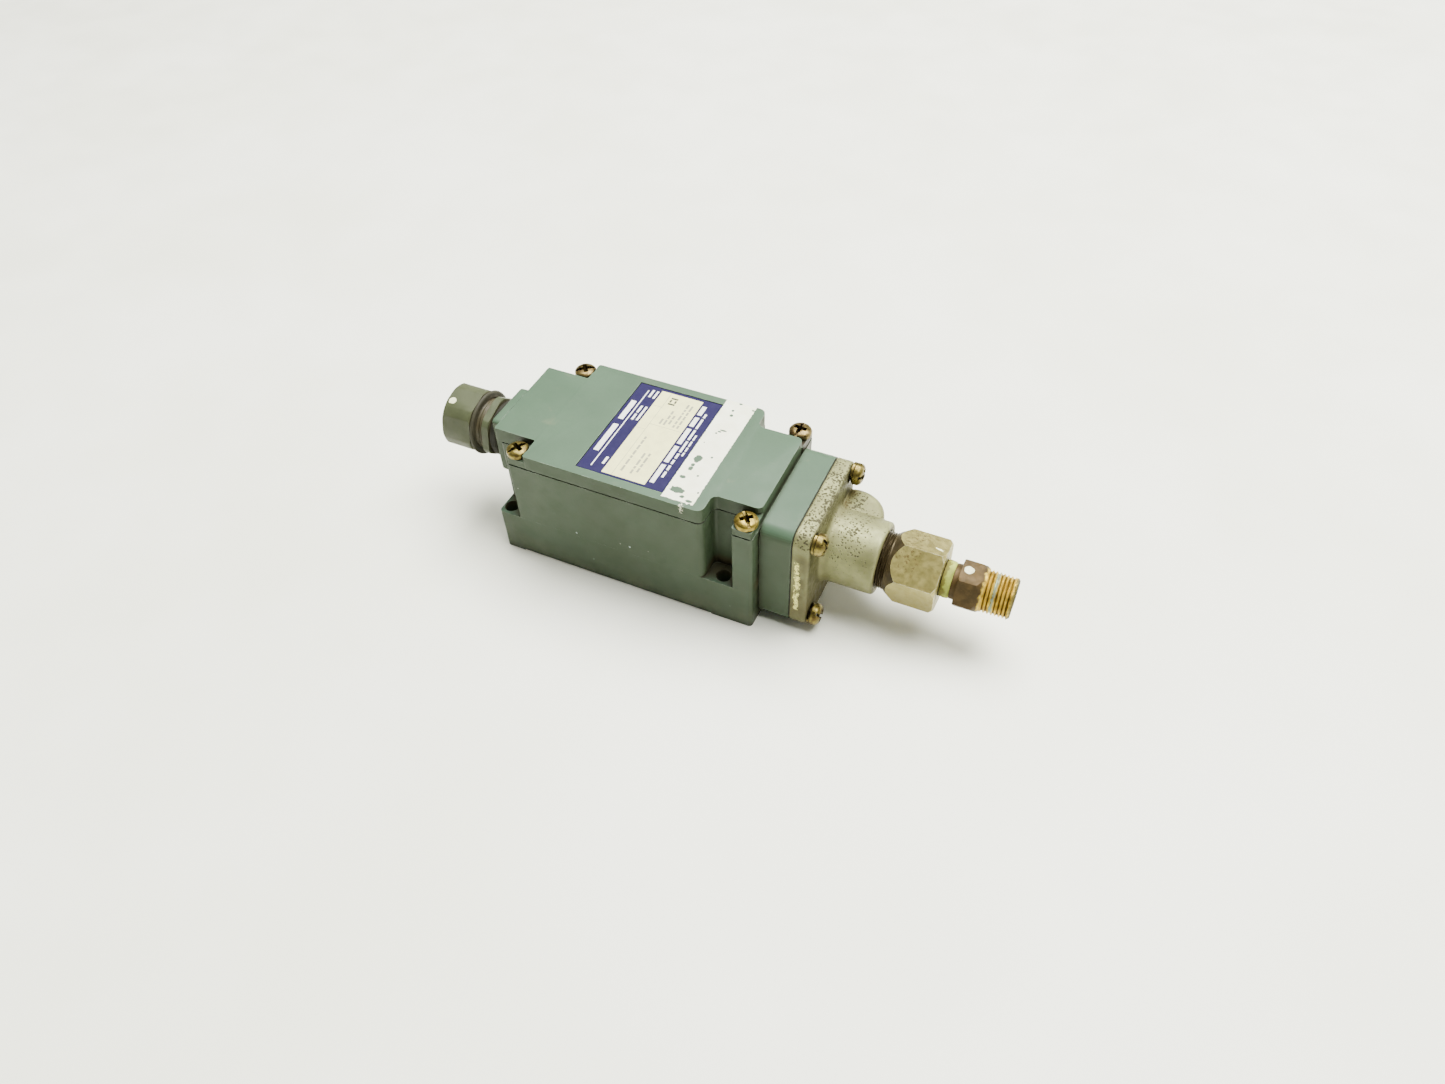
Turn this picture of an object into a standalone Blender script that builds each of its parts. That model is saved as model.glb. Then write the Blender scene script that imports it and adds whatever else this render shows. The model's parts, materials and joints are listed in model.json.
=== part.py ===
"""Block-type pressure switch: die-cast case, diaphragm head with a pipe fitting, and a cable gland.

Frame: metres, +Z up out of the cover, +X towards the pressure fitting, -X towards the cable gland.
The origin is under the middle of the object's overall length to within 1 mm, on the plane that the
case stands on.
"""
import math

import bmesh
import bpy
from mathutils import Matrix, Vector

MM = 0.001
GAP = 0.3            # between pieces that touch, mm
SEAT = 0.2           # at each side of the thin gaskets, mm

# ---------------------------------------------------------------- case
CASE_X0, CASE_X1 = -74.0, 23.0
CASE_HALF_Y = 26.5
RIM_Z = 42.3
WALL = 3.0
FLOOR_Z = 3.5
PAD_HEIGHT = 0.5
PAD_LENGTH = 7.5
PAD_LENGTH_RIGHT = 12.0
CASE_EDGE_R = 1.2
TONGUE_HALF_Y = 17.9          # half width of the case and cover between the corner pockets
POCKET_FLOOR_Z = 17.4
LEFT_POCKET_X1 = -65.8
LEFT_COLUMN_X1 = -59.1
RIGHT_POCKET_X0, RIGHT_POCKET_X1 = 6.0, 16.0
CAVITY_X0 = -68.0
CAVITY_WIDE_X0, CAVITY_WIDE_X1 = -56.0, 3.0
CAVITY_X1 = 20.0
MOUNT_HOLE_X = (-71.0, 11.4)
MOUNT_HOLE_Y = 22.8
MOUNT_HOLE_R = 2.3

# ---------------------------------------------------------------- cover
GASKET_T = 0.5
COVER_Z0 = RIM_Z + GASKET_T + 2 * SEAT
COVER_Z1 = 48.5
COVER_ROOF_T = 2.5
COVER_X0, COVER_X1 = -75.0, 21.8
COVER_EDGE_R = 0.9
LUG_Z1 = 45.7
COVER_SCREW_XY = ((-63.0, 22.8), (-63.0, -22.8), (19.6, 22.8), (19.6, -22.8))
PLATE_X0, PLATE_X1 = -40.4, -9.3
PLATE_Y0, PLATE_Y1 = -23.1, 23.2
PLATE_T = 0.4
PLATE_RECESS = 0.6

# ---------------------------------------------------------------- pressure axis and head
PORT_Z = 23.3
BLOCK_X0, BLOCK_X1 = CASE_X1 + GAP, 33.7
BLOCK_HALF_Y = 21.4
BLOCK_Z0, BLOCK_Z1 = 1.8, 44.1
BLOCK_R = 4.6
HEAD_X0, HEAD_X1 = 34.8, 40.3
BOSS_X1 = 58.7
BOSS_R = 12.4
SIDE_BOSS_XY = (44.0, 8.0)
SIDE_BOSS_R = 11.0
SIDE_BOSS_Z0, SIDE_BOSS_Z1 = 14.0, 33.0
HEAD_SCREW_Y, HEAD_SCREW_Z = 17.4, 17.0
DIAPHRAGM_R = 15.0
CHAMBER_R = 11.0

# ---------------------------------------------------------------- fitting
ADAPTER_THREAD_R = 9.5
ADAPTER_NECK_R = 9.8
ADAPTER_X0, ADAPTER_HEX_X0, ADAPTER_X1 = 47.0, 61.9, 78.7
ADAPTER_FLATS = 21.4
NIPPLE_X0, NIPPLE_HEX_X0, NIPPLE_HEX_X1, NIPPLE_X1 = 69.0, 84.0, 92.3, 102.0
NIPPLE_FLATS = 14.3
NIPPLE_THREAD_R = 6.6
NIPPLE_BORE_R = 3.2

# ---------------------------------------------------------------- cable gland
GLAND_Y, GLAND_Z = -4.9, 36.4
BOSS_FACE_X = -78.5
GLAND_BOSS_Y0, GLAND_BOSS_Y1 = -15.0, 4.8
GLAND_BOSS_Z0 = 25.5
CAP_FLATS, CAP_ROUND_R = 21.7, 11.6
FLANGE_FLATS, FLANGE_ROUND_R = 20.0, 11.0
GLAND_STUB_R = 7.9
GLAND_NECK_R = 9.0
CAP_X0, CAP_X1 = -100.4, -89.0
CAP_SOCKET_X = -96.9
FLANGE_X0, FLANGE_X1 = -84.5, -81.8

# ---------------------------------------------------------------- switch mechanism
PIVOT_X, PIVOT_Z = -2.0, 8.5
LEVER_T = 2.0
LEVER_Z1 = 33.0
ROD_R = 2.5
ROD_TIP_X = PIVOT_X + LEVER_T / 2 + GAP
SWITCH_X1 = PIVOT_X - 4.1
SWITCH_DEPTH = 15.9
SWITCH_Y0, SWITCH_Y1 = 6.4, 16.7
SWITCH_Z0, SWITCH_Z1 = 7.0, 34.8
PLUNGER_Z = 28.0
PLUNGER_R = 1.4
SPRING_X0, SPRING_X1 = PIVOT_X - 21.0, PIVOT_X - LEVER_T / 2 - GAP
SEAT_X0 = SPRING_X0 - 2.3
BRACKET_X0, BRACKET_X1 = -36.0, 2.0
BRACKET_WALL_T = 2.5
TERMINAL_X0, TERMINAL_X1 = -66.0, -53.0
TERMINAL_PITCH = 9.0


# ================================================================ small helpers
def clear_scene():
    for obj in list(bpy.data.objects):
        bpy.data.objects.remove(obj, do_unlink=True)


def material(name, colour, roughness, metallic=0.0):
    mat = bpy.data.materials.get(name)
    if mat is None:
        mat = bpy.data.materials.new(name)
        mat.use_nodes = True
        shader = mat.node_tree.nodes["Principled BSDF"]
        shader.inputs["Base Color"].default_value = (*colour, 1.0)
        shader.inputs["Roughness"].default_value = roughness
        shader.inputs["Metallic"].default_value = metallic
    return mat


def add_object(name, bm, look=None):
    """Turns a bmesh in millimetres into an object in metres."""
    bmesh.ops.recalc_face_normals(bm, faces=bm.faces)
    bmesh.ops.scale(bm, vec=(MM, MM, MM), verts=bm.verts)
    mesh = bpy.data.meshes.new(name)
    bm.to_mesh(mesh)
    bm.free()
    mesh.set_sharp_from_angle(angle=math.radians(35))
    obj = bpy.data.objects.new(name, mesh)
    bpy.context.scene.collection.objects.link(obj)
    if look is not None:
        mesh.materials.append(material(*look))
    return obj


def place(obj, location, direction=(0, 0, 1)):
    """Puts an object modelled along +Z at a point in mm, turned to point along a direction."""
    obj.location = Vector(location) * MM
    obj.rotation_mode = "QUATERNION"
    obj.rotation_quaternion = Vector((0, 0, 1)).rotation_difference(Vector(direction))
    return obj


def tool(obj):
    """Marks an object as a cutter or an added volume, which isn't a piece by itself."""
    obj.hide_render = True
    obj.display_type = "WIRE"
    return obj


def boolean(obj, other, operation):
    tool(other)
    step = obj.modifiers.new(operation.lower(), "BOOLEAN")
    step.operation = operation
    step.solver = "EXACT"
    step.object = other


def cut(obj, *cutters):
    for cutter in cutters:
        boolean(obj, cutter, "DIFFERENCE")


def join(obj, *volumes):
    for volume in volumes:
        boolean(obj, volume, "UNION")


def arc(centre, radius, start_deg, end_deg, steps):
    """Points on an arc, both ends included, as (a, b) pairs."""
    points = []
    for i in range(steps + 1):
        angle = math.radians(start_deg + (end_deg - start_deg) * i / steps)
        points.append((centre[0] + radius * math.cos(angle), centre[1] + radius * math.sin(angle)))
    return points


def rounded_rectangle(a0, a1, b0, b1, radius, steps=4):
    corners = (((a1 - radius, b0 + radius), -90), ((a1 - radius, b1 - radius), 0),
               ((a0 + radius, b1 - radius), 90), ((a0 + radius, b0 + radius), 180))
    points = []
    for centre, start in corners:
        points += arc(centre, radius, start, start + 90, steps)
    return points


def fillet_outline(corners, steps=3):
    """Rounds a polygon given as (a, b, radius) corners; a radius of 0 keeps the corner sharp."""
    points = []
    count = len(corners)
    for i, (a, b, radius) in enumerate(corners):
        here = Vector((a, b))
        if radius == 0:
            points.append((a, b))
            continue
        before = (Vector(corners[i - 1][:2]) - here).normalized()
        after = (Vector(corners[(i + 1) % count][:2]) - here).normalized()
        half = before.angle(after) / 2
        middle = here + (before + after).normalized() * radius / math.sin(half)
        first = here + before * radius / math.tan(half)
        last = here + after * radius / math.tan(half)
        spoke, sweep = first - middle, (first - middle).angle_signed(last - middle)
        for k in range(steps + 1):
            turned = Matrix.Rotation(-sweep * k / steps, 2) @ spoke
            points.append(tuple(middle + turned))
    return points


def prism_mesh(outline, low, high, axis="Z"):
    """Closed prism over an outline. The outline's pair lies on XY, YZ or XZ for axis Z, X or Y."""
    lift = {"Z": lambda a, b, h: (a, b, h), "X": lambda a, b, h: (h, a, b), "Y": lambda a, b, h: (a, h, b)}[axis]
    bm = bmesh.new()
    bottom = [bm.verts.new(lift(a, b, low)) for a, b in outline]
    top = [bm.verts.new(lift(a, b, high)) for a, b in outline]
    bm.faces.new(bottom)
    bm.faces.new(top)
    for i in range(len(outline)):
        j = (i + 1) % len(outline)
        bm.faces.new((bottom[i], bottom[j], top[j], top[i]))
    return bm


def prism(name, outline, low, high, axis="Z", look=None):
    return add_object(name, prism_mesh(outline, low, high, axis), look)


def box(name, x0, x1, y0, y1, z0, z1, look=None):
    return prism(name, ((x0, y0), (x1, y0), (x1, y1), (x0, y1)), z0, z1, "Z", look)


def bevel_edges(bm, chosen, width, segments=2):
    edges = [edge for edge in bm.edges if chosen(*edge.verts)]
    bmesh.ops.bevel(bm, geom=edges, offset=width, segments=segments, profile=0.5, affect="EDGES",
                    clamp_overlap=True)


def turned_mesh(profile, steps, centre=(0.0, 0.0), axis="X"):
    """Solid of revolution. Profile is a closed chain of (along, radius) points; radius 0 is a pole."""
    bm = bmesh.new()
    rings = []
    for along, radius in profile:
        ring = []
        for k in range(1 if radius == 0 else steps):
            angle = 2 * math.pi * k / steps
            side, rise = radius * math.cos(angle), radius * math.sin(angle)
            if axis == "X":
                spot = (along, centre[0] + side, centre[1] + rise)
            elif axis == "Y":
                spot = (centre[0] + side, along, centre[1] + rise)
            else:
                spot = (centre[0] + side, centre[1] + rise, along)
            ring.append(bm.verts.new(spot))
        rings.append(ring)
    for first, second in zip(rings, rings[1:] + rings[:1]):
        if len(first) == 1 and len(second) == 1:
            continue
        for k in range(steps):
            n = (k + 1) % steps
            corners = {first[k % len(first)]: None, first[n % len(first)]: None,
                       second[n % len(second)]: None, second[k % len(second)]: None}
            bm.faces.new(list(corners))
    return bm


def turned(name, profile, steps, centre=(0.0, 0.0), axis="X", look=None):
    return add_object(name, turned_mesh(profile, steps, centre, axis), look)


def rod(name, low, high, radius, steps=24, centre=(0.0, 0.0), axis="X", look=None):
    return turned(name, ((low, 0), (low, radius), (high, radius), (high, 0)), steps, centre, axis, look)


def ring(name, low, high, inner, outer, steps=32, centre=(0.0, 0.0), axis="X", look=None):
    profile = ((low, inner), (low, outer), (high, outer), (high, inner))
    return turned(name, profile, steps, centre, axis, look)


def hexagon(flats, centre, first_corner_deg):
    radius = flats / math.sqrt(3)
    return [(centre[0] + radius * math.cos(math.radians(first_corner_deg + 60 * k)),
             centre[1] + radius * math.sin(math.radians(first_corner_deg + 60 * k))) for k in range(6)]


def trim_to_turned(obj, profile, steps, centre):
    """Keeps only what lies inside a turned envelope, as chamfering a hexagon in a lathe does."""
    boolean(obj, turned(obj.name + "_envelope", profile, steps, centre), "INTERSECT")


PAINT = ("case_paint", (0.21, 0.29, 0.25), 0.45)
CAST = ("bare_casting", (0.50, 0.49, 0.42), 0.55, 0.7)
NICKEL = ("nickel_plate", (0.50, 0.47, 0.34), 0.35, 0.9)
BRONZED = ("browned_brass", (0.09, 0.065, 0.04), 0.4, 0.7)
BRASS = ("brass", (0.55, 0.43, 0.18), 0.35, 0.9)
ZINC = ("yellow_zinc", (0.48, 0.40, 0.20), 0.35, 0.9)
STEEL = ("bright_steel", (0.55, 0.55, 0.53), 0.35, 0.9)
RUBBER = ("black_rubber", (0.015, 0.015, 0.013), 0.75)
SEALANT = ("green_sealant", (0.42, 0.44, 0.15), 0.6)
GLAND_GREY = ("gland_grey", (0.17, 0.18, 0.13), 0.5)
LABEL = ("label_film", (0.16, 0.16, 0.42), 0.4)
PHENOLIC = ("black_phenolic", (0.02, 0.018, 0.016), 0.45)
WHITE_NYLON = ("natural_nylon", (0.75, 0.72, 0.62), 0.5)


# ================================================================ fasteners
def pan_screw(name, location, direction, head_r, head_h, shank_r, length, look):
    """Slotted pan-head screw. The location is under its head, and the direction points out of the head."""
    crown = 0.45 * head_h
    profile = [(-length, 0), (-length, shank_r), (0, shank_r), (0, head_r), (head_h - crown, head_r),
               (head_h - 0.3 * crown, 0.82 * head_r), (head_h, 0.5 * head_r), (head_h, 0)]
    screw = turned(name, profile, 16 if head_r > 3 else 12, axis="Z", look=look)
    slot_half = 0.13 * head_r
    slot = box(name + "_slot", -1.1 * head_r, 1.1 * head_r, -slot_half, slot_half, 0.55 * head_h, 2 * head_h)
    cut(screw, slot)
    place(screw, location, direction)
    place(slot, location, direction)
    return screw


def blind_hole(name, location, direction, radius, depth, mouth=1.0, steps=12):
    """Cutter for a hole that starts a little outside the face and ends at its depth."""
    return place(rod(name, -depth, mouth, radius, steps, axis="Z"), location, direction)


# ================================================================ case and cover
def make_case():
    bm = prism_mesh(rounded_rectangle(CASE_X0, CASE_X1, -CASE_HALF_Y, CASE_HALF_Y, CASE_EDGE_R, 3), 0, RIM_Z)
    case = add_object("case", bm, PAINT)
    boss = prism_mesh(((GLAND_BOSS_Y0, GLAND_BOSS_Z0), (GLAND_BOSS_Y1, GLAND_BOSS_Z0),
                       (GLAND_BOSS_Y1, COVER_Z1), (GLAND_BOSS_Y0, COVER_Z1)),
                      BOSS_FACE_X, COVER_X0 - GAP, "X")
    at_face = BOSS_FACE_X + 0.01
    bevel_edges(boss, lambda p, q: max(p.co.x, q.co.x) < at_face or (p.co.z == q.co.z and p.co.y == q.co.y), 1.1)
    upstand = box("gland_upstand", COVER_X0 - GAP - 0.5, CAVITY_X0 - WALL, GLAND_BOSS_Y0 + 0.4, GLAND_BOSS_Y1 - 0.4,
                  GLAND_BOSS_Z0 + 1.0, COVER_Z1 - COVER_ROOF_T - GAP)
    earth_boss = rod("earth_boss", 2.0, 8.0, 4.5, 20, (-42.0, -18.0), "Z")
    join(case, add_object("gland_boss", boss), upstand)

    for side in (-1, 1):
        outside, inside = side * (CASE_HALF_Y + 5), side * TONGUE_HALF_Y
        y0, y1 = min(outside, inside), max(outside, inside)
        left = rounded_rectangle(CASE_X0 - 5, LEFT_POCKET_X1, y0, y1, 0.8, 2)
        right = rounded_rectangle(RIGHT_POCKET_X0, RIGHT_POCKET_X1, y0, y1, 1.0, 2)
        cut(case, prism(f"left_pocket_{side}", left, POCKET_FLOOR_Z, RIM_Z + 5),
            prism(f"right_pocket_{side}", right, POCKET_FLOOR_Z, RIM_Z + 5))
        for x in MOUNT_HOLE_X:
            cut(case, rod(f"mount_hole_{x}_{side}", -1, POCKET_FLOOR_Z + 1, MOUNT_HOLE_R, 24,
                          (x, side * MOUNT_HOLE_Y), "Z"))
    cavity = fillet_outline(((CAVITY_X0, -14.9, 1.5), (CAVITY_WIDE_X0, -14.9, 0), (CAVITY_WIDE_X0, -23.5, 1.5),
                             (CAVITY_WIDE_X1, -23.5, 1.5), (CAVITY_WIDE_X1, -14.9, 0), (CAVITY_X1, -14.9, 1.5),
                             (CAVITY_X1, 14.9, 1.5), (CAVITY_WIDE_X1, 14.9, 0), (CAVITY_WIDE_X1, 23.5, 1.5),
                             (CAVITY_WIDE_X0, 23.5, 1.5), (CAVITY_WIDE_X0, 14.9, 0), (CAVITY_X0, 14.9, 1.5)), 2)
    cut(case, prism("cavity", cavity, FLOOR_Z, RIM_Z + 10),
        box("foot_relief", CASE_X0 + PAD_LENGTH, CASE_X1 - PAD_LENGTH_RIGHT, -CASE_HALF_Y - 5, CASE_HALF_Y + 5,
            -5, PAD_HEIGHT),
        turned("gland_way", [(BOSS_FACE_X - 5, 0), (BOSS_FACE_X - 5, GLAND_STUB_R + GAP),
                             (-71.5, GLAND_STUB_R + GAP), (-71.5, 5.4), (CAVITY_X0 + 5, 5.4),
                             (CAVITY_X0 + 5, 0)], 32, (GLAND_Y, GLAND_Z)),
        rod("stem_hole", 10, CASE_X1 + 5, 5.3, 24, (0, PORT_Z)))
    join(case, earth_boss)
    for n, (x, y) in enumerate(COVER_SCREW_XY):
        cut(case, blind_hole(f"cover_tap_{n}", (x, y, RIM_Z), (0, 0, 1), 2.1, 13.5))
    for n, (y, z) in enumerate(head_screw_places()):
        cut(case, blind_hole(f"head_tap_{n}", (CASE_X1, y, z), (1, 0, 0), 2.1, 6.6))
    cut(case, blind_hole("earth_tap", (-42, -18, 8), (0, 0, 1), 1.9, 6.0),
        *[blind_hole(f"bracket_tap_{n}", (x, y, FLOOR_Z), (0, 0, 1), 1.6, 2.4)
          for n, (x, y) in enumerate(bracket_screw_places())],
        *[blind_hole(f"terminal_tap_{n}", (x, y, FLOOR_Z), (0, 0, 1), 1.4, 2.4)
          for n, (x, y) in enumerate(terminal_fixing_places())])
    return case


def make_cover():
    outline = fillet_outline(((COVER_X0, -TONGUE_HALF_Y, 1.0), (LEFT_COLUMN_X1, -TONGUE_HALF_Y, 0.6),
                              (LEFT_COLUMN_X1, -CASE_HALF_Y, 0.8), (RIGHT_POCKET_X0, -CASE_HALF_Y, 2.0),
                              (RIGHT_POCKET_X0, -TONGUE_HALF_Y, 2.0), (COVER_X1, -TONGUE_HALF_Y, 2.0),
                              (COVER_X1, TONGUE_HALF_Y, 2.0), (RIGHT_POCKET_X0, TONGUE_HALF_Y, 2.0),
                              (RIGHT_POCKET_X0, CASE_HALF_Y, 2.0), (LEFT_COLUMN_X1, CASE_HALF_Y, 0.8),
                              (LEFT_COLUMN_X1, TONGUE_HALF_Y, 0.6), (COVER_X0, TONGUE_HALF_Y, 1.0)))
    bm = prism_mesh(outline, COVER_Z0, COVER_Z1)
    bevel_edges(bm, lambda p, q: min(p.co.z, q.co.z) == max(v.co.z for v in bm.verts), COVER_EDGE_R)
    cover = add_object("cover", bm, PAINT)
    roof = COVER_Z1 - COVER_ROOF_T
    for side in (-1, 1):
        for x0, x1 in ((LEFT_POCKET_X1 + 0.1, LEFT_COLUMN_X1 + 2), (RIGHT_POCKET_X1, 22.7)):
            inner, outer = side * (TONGUE_HALF_Y - 1.5), side * (CASE_HALF_Y - 0.1)
            lug = rounded_rectangle(x0, x1, min(inner, outer), max(inner, outer), 0.5, 2)
            join(cover, prism(f"lug_{x0:.0f}_{side}", lug, COVER_Z0 + 0.001, LUG_Z1))
    hollow = ((CAVITY_X0, -14.9), (CAVITY_WIDE_X0, -14.9), (CAVITY_WIDE_X0, -23.5), (CAVITY_WIDE_X1, -23.5),
              (CAVITY_WIDE_X1, -14.9), (18.8, -14.9), (18.8, 14.9), (CAVITY_WIDE_X1, 14.9), (CAVITY_WIDE_X1, 23.5),
              (CAVITY_WIDE_X0, 23.5), (CAVITY_WIDE_X0, 14.9), (CAVITY_X0, 14.9))
    cut(cover, prism("cover_hollow", hollow, COVER_Z0 - 5, roof),
        box("upstand_notch", COVER_X0 - 5, CAVITY_X0 - WALL + GAP, GLAND_BOSS_Y0 + 0.1, GLAND_BOSS_Y1 - 0.1,
            COVER_Z0 - 5, roof),
        box("label_recess", PLATE_X0 - GAP, PLATE_X1 + GAP, PLATE_Y0 - GAP, PLATE_Y1 + GAP,
            COVER_Z1 - PLATE_RECESS, COVER_Z1 + 5))
    for n, (x, y) in enumerate(COVER_SCREW_XY):
        cut(cover, rod(f"lug_hole_{n}", COVER_Z0 - 5, LUG_Z1 + 1, 2.2, 20, (x, y), "Z"),
            rod(f"head_room_{n}", LUG_Z1, COVER_Z1 + 5, 4.2, 28, (x, y), "Z"))
    return cover


def make_cover_gasket():
    inset = 0.25
    outer = fillet_outline(((CAVITY_X0 - 2.7, -17.6, 0.8), (LEFT_COLUMN_X1 + 0.1, -17.6, 0),
                            (LEFT_COLUMN_X1 + 0.1, -CASE_HALF_Y + inset, 0.8), (5.7, -CASE_HALF_Y + inset, 1.8),
                            (5.7, -17.6, 1.8), (21.5, -17.6, 1.8), (21.5, 17.6, 1.8), (5.7, 17.6, 1.8),
                            (5.7, CASE_HALF_Y - inset, 1.8), (LEFT_COLUMN_X1 + 0.1, CASE_HALF_Y - inset, 0.8),
                            (LEFT_COLUMN_X1 + 0.1, 17.6, 0), (CAVITY_X0 - 2.7, 17.6, 0.8)), 2)
    gasket = prism("cover_gasket", outer, RIM_Z + SEAT, RIM_Z + SEAT + GASKET_T, "Z", RUBBER)
    inner = ((CAVITY_X0 + 0.1, -15.1), (CAVITY_WIDE_X0, -15.1), (CAVITY_WIDE_X0, -23.7), (CAVITY_WIDE_X1, -23.7),
             (CAVITY_WIDE_X1, -15.1), (18.6, -15.1), (18.6, 15.1), (CAVITY_WIDE_X1, 15.1), (CAVITY_WIDE_X1, 23.7),
             (CAVITY_WIDE_X0, 23.7), (CAVITY_WIDE_X0, 15.1), (CAVITY_X0 + 0.1, 15.1))
    cut(gasket, prism("gasket_window", inner, RIM_Z - 5, RIM_Z + 5))


def make_label():
    bm = prism_mesh(((PLATE_X0, PLATE_Y0), (PLATE_X1, PLATE_Y0), (PLATE_X1, PLATE_Y1), (PLATE_X0, PLATE_Y1)),
                    COVER_Z1 - PLATE_RECESS + 0.1, COVER_Z1 - PLATE_RECESS + 0.1 + PLATE_T)
    add_object("label_plate", bm, LABEL)


def make_cover_screws():
    for n, (x, y) in enumerate(COVER_SCREW_XY, 1):
        pan_screw(f"cover_screw_{n}", (x, y, LUG_Z1 + SEAT), (0, 0, 1), 3.9, 2.6, 1.9, 16.0, ZINC)


# ================================================================ pressure head
def head_screw_places():
    return [(sy * HEAD_SCREW_Y, PORT_Z + sz * HEAD_SCREW_Z) for sz in (1, -1) for sy in (-1, 1)]


def head_outline(grow=0.0):
    return rounded_rectangle(-BLOCK_HALF_Y - grow, BLOCK_HALF_Y + grow, BLOCK_Z0 - grow, BLOCK_Z1 + grow, BLOCK_R, 5)


def cut_head_screw_holes(obj, x0, x1, radius=2.2):
    for n, spot in enumerate(head_screw_places()):
        cut(obj, rod(f"{obj.name}_screw_hole_{n}", x0 - 1, x1 + 1, radius, 12, spot))


def soften_rims(bm, low, high, width, segments=2):
    """Bevels the edges around the two end faces of a prism along X."""
    bevel_edges(bm, lambda p, q: p.co.x == q.co.x and (abs(p.co.x - low) < 1e-4 or abs(p.co.x - high) < 1e-4),
                width, segments)


def make_stem_block():
    bm = prism_mesh(head_outline(), BLOCK_X0, BLOCK_X1, "X")
    soften_rims(bm, BLOCK_X0, BLOCK_X1, 0.4, 1)
    block = add_object("stem_block", bm, PAINT)
    cut_head_screw_holes(block, BLOCK_X0, BLOCK_X1)
    bore = [(BLOCK_X0 - 5, 0), (BLOCK_X0 - 5, 7.9), (26.2, 7.9), (26.2, 12.0), (BLOCK_X1 + 5, 12.0),
            (BLOCK_X1 + 5, 0)]
    cut(block, turned("block_bore", bore, 32, (0, PORT_Z)))


def make_head_gasket():
    x0, x1 = BLOCK_X1 + GAP, HEAD_X0 - GAP
    gasket = prism("head_gasket", head_outline(-0.15), x0, x1, "X", RUBBER)
    cut_head_screw_holes(gasket, x0, x1, 2.4)
    cut(gasket, rod("gasket_hole", x0 - 5, x1 + 5, DIAPHRAGM_R + 0.5, 32, (0, PORT_Z)))


def make_diaphragm():
    rod("diaphragm", BLOCK_X1 + GAP, HEAD_X0 - 0.4, DIAPHRAGM_R, 32, (0, PORT_Z), look=STEEL)


def make_pressure_head():
    bm = prism_mesh(head_outline(), HEAD_X0, HEAD_X1, "X")
    soften_rims(bm, HEAD_X0 - 50, HEAD_X1, 1.1)
    head = add_object("pressure_head", bm, CAST)
    web = arc((HEAD_X1 + 2.6, BOSS_R + 2.6), 2.6, -90, -180, 2)[::-1]
    rounding = arc((BOSS_X1 - 1.2, BOSS_R - 1.2), 1.2, 90, 0, 2)
    boss = turned("port_boss", [(HEAD_X1 - 2, 0), (HEAD_X1 - 2, BOSS_R + 2.6)] + web + rounding + [(BOSS_X1, 0)],
                  40, (0, PORT_Z))
    cap = [(SIDE_BOSS_Z0, 0), (SIDE_BOSS_Z0, SIDE_BOSS_R)]
    cap += [(z, r) for r, z in arc((SIDE_BOSS_R - 2.0, SIDE_BOSS_Z1 - 2.0), 2.0, 0, 90, 3)] + [(SIDE_BOSS_Z1, 0)]
    side_boss = turned("side_boss", cap, 32, SIDE_BOSS_XY, "Z")
    cut(side_boss, box("side_boss_back", 20, HEAD_X1 - 3, -10, 30, 0, 50))
    join(head, boss, side_boss)
    cut_head_screw_holes(head, HEAD_X0, HEAD_X1)
    passage = [(HEAD_X0 - 5, 0), (HEAD_X0 - 5, CHAMBER_R), (HEAD_X0 + 2.4, CHAMBER_R), (HEAD_X0 + 2.4, 3.0),
               (ADAPTER_X0 - 1.0, 3.0), (ADAPTER_X0 - 1.0, ADAPTER_THREAD_R + GAP),
               (BOSS_X1 + 5, ADAPTER_THREAD_R + GAP), (BOSS_X1 + 5, 0)]
    cut(head, turned("passage", passage, 32, (0, PORT_Z)))


def make_head_screws():
    washer_t = 0.9
    for n, (y, z) in enumerate(head_screw_places(), 1):
        washer_x0 = HEAD_X1 + 0.1
        head_x0 = washer_x0 + washer_t + 0.1
        ring(f"spring_washer_{n}", washer_x0, washer_x0 + washer_t, 2.15, 3.7, 20, (y, z), look=ZINC)
        pan_screw(f"head_screw_{n}", (head_x0, y, z), (1, 0, 0), 3.75, 3.0, 1.9, head_x0 - 16.9, ZINC)


# ================================================================ fitting on the port
def hex_envelope(x0, x1, flats, left, right):
    """Outer envelope of a hexagon. Left and right are each chamfer's length and its end's radius."""
    corner_r = flats / math.sqrt(3) + 0.2
    return [(x0, 0), (x0, left[1]), (x0 + left[0], corner_r), (x1 - right[0], corner_r), (x1, right[1]), (x1, 0)]


def make_port_adapter():
    centre = (0, PORT_Z)
    adapter = prism("port_adapter", hexagon(ADAPTER_FLATS, centre, 41.7), ADAPTER_HEX_X0 - 1, ADAPTER_X1 + 1, "X",
                    NICKEL)
    envelope = hex_envelope(ADAPTER_HEX_X0, ADAPTER_X1, ADAPTER_FLATS, (3.6, 10.4), (1.4, 11.3))
    trim_to_turned(adapter, envelope, 48, centre)
    neck_x0 = BOSS_X1 + GAP
    shank = [(ADAPTER_X0, 0), (ADAPTER_X0, 8.6), (ADAPTER_X0 + 1, ADAPTER_THREAD_R), (neck_x0, ADAPTER_THREAD_R),
             (neck_x0, ADAPTER_NECK_R), (ADAPTER_HEX_X0 + 1, ADAPTER_NECK_R), (ADAPTER_HEX_X0 + 1, 0)]
    join(adapter, turned("adapter_shank", shank, 32, centre))
    bore = [(ADAPTER_X0 - 5, 0), (ADAPTER_X0 - 5, 4.0), (NIPPLE_X0 - 1.2, 4.0), (NIPPLE_X0 - 1.2, 6.2),
            (ADAPTER_X1 + 5, 6.2), (ADAPTER_X1 + 5, 0)]
    cut(adapter, turned("adapter_bore", bore, 24, centre))


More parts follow.
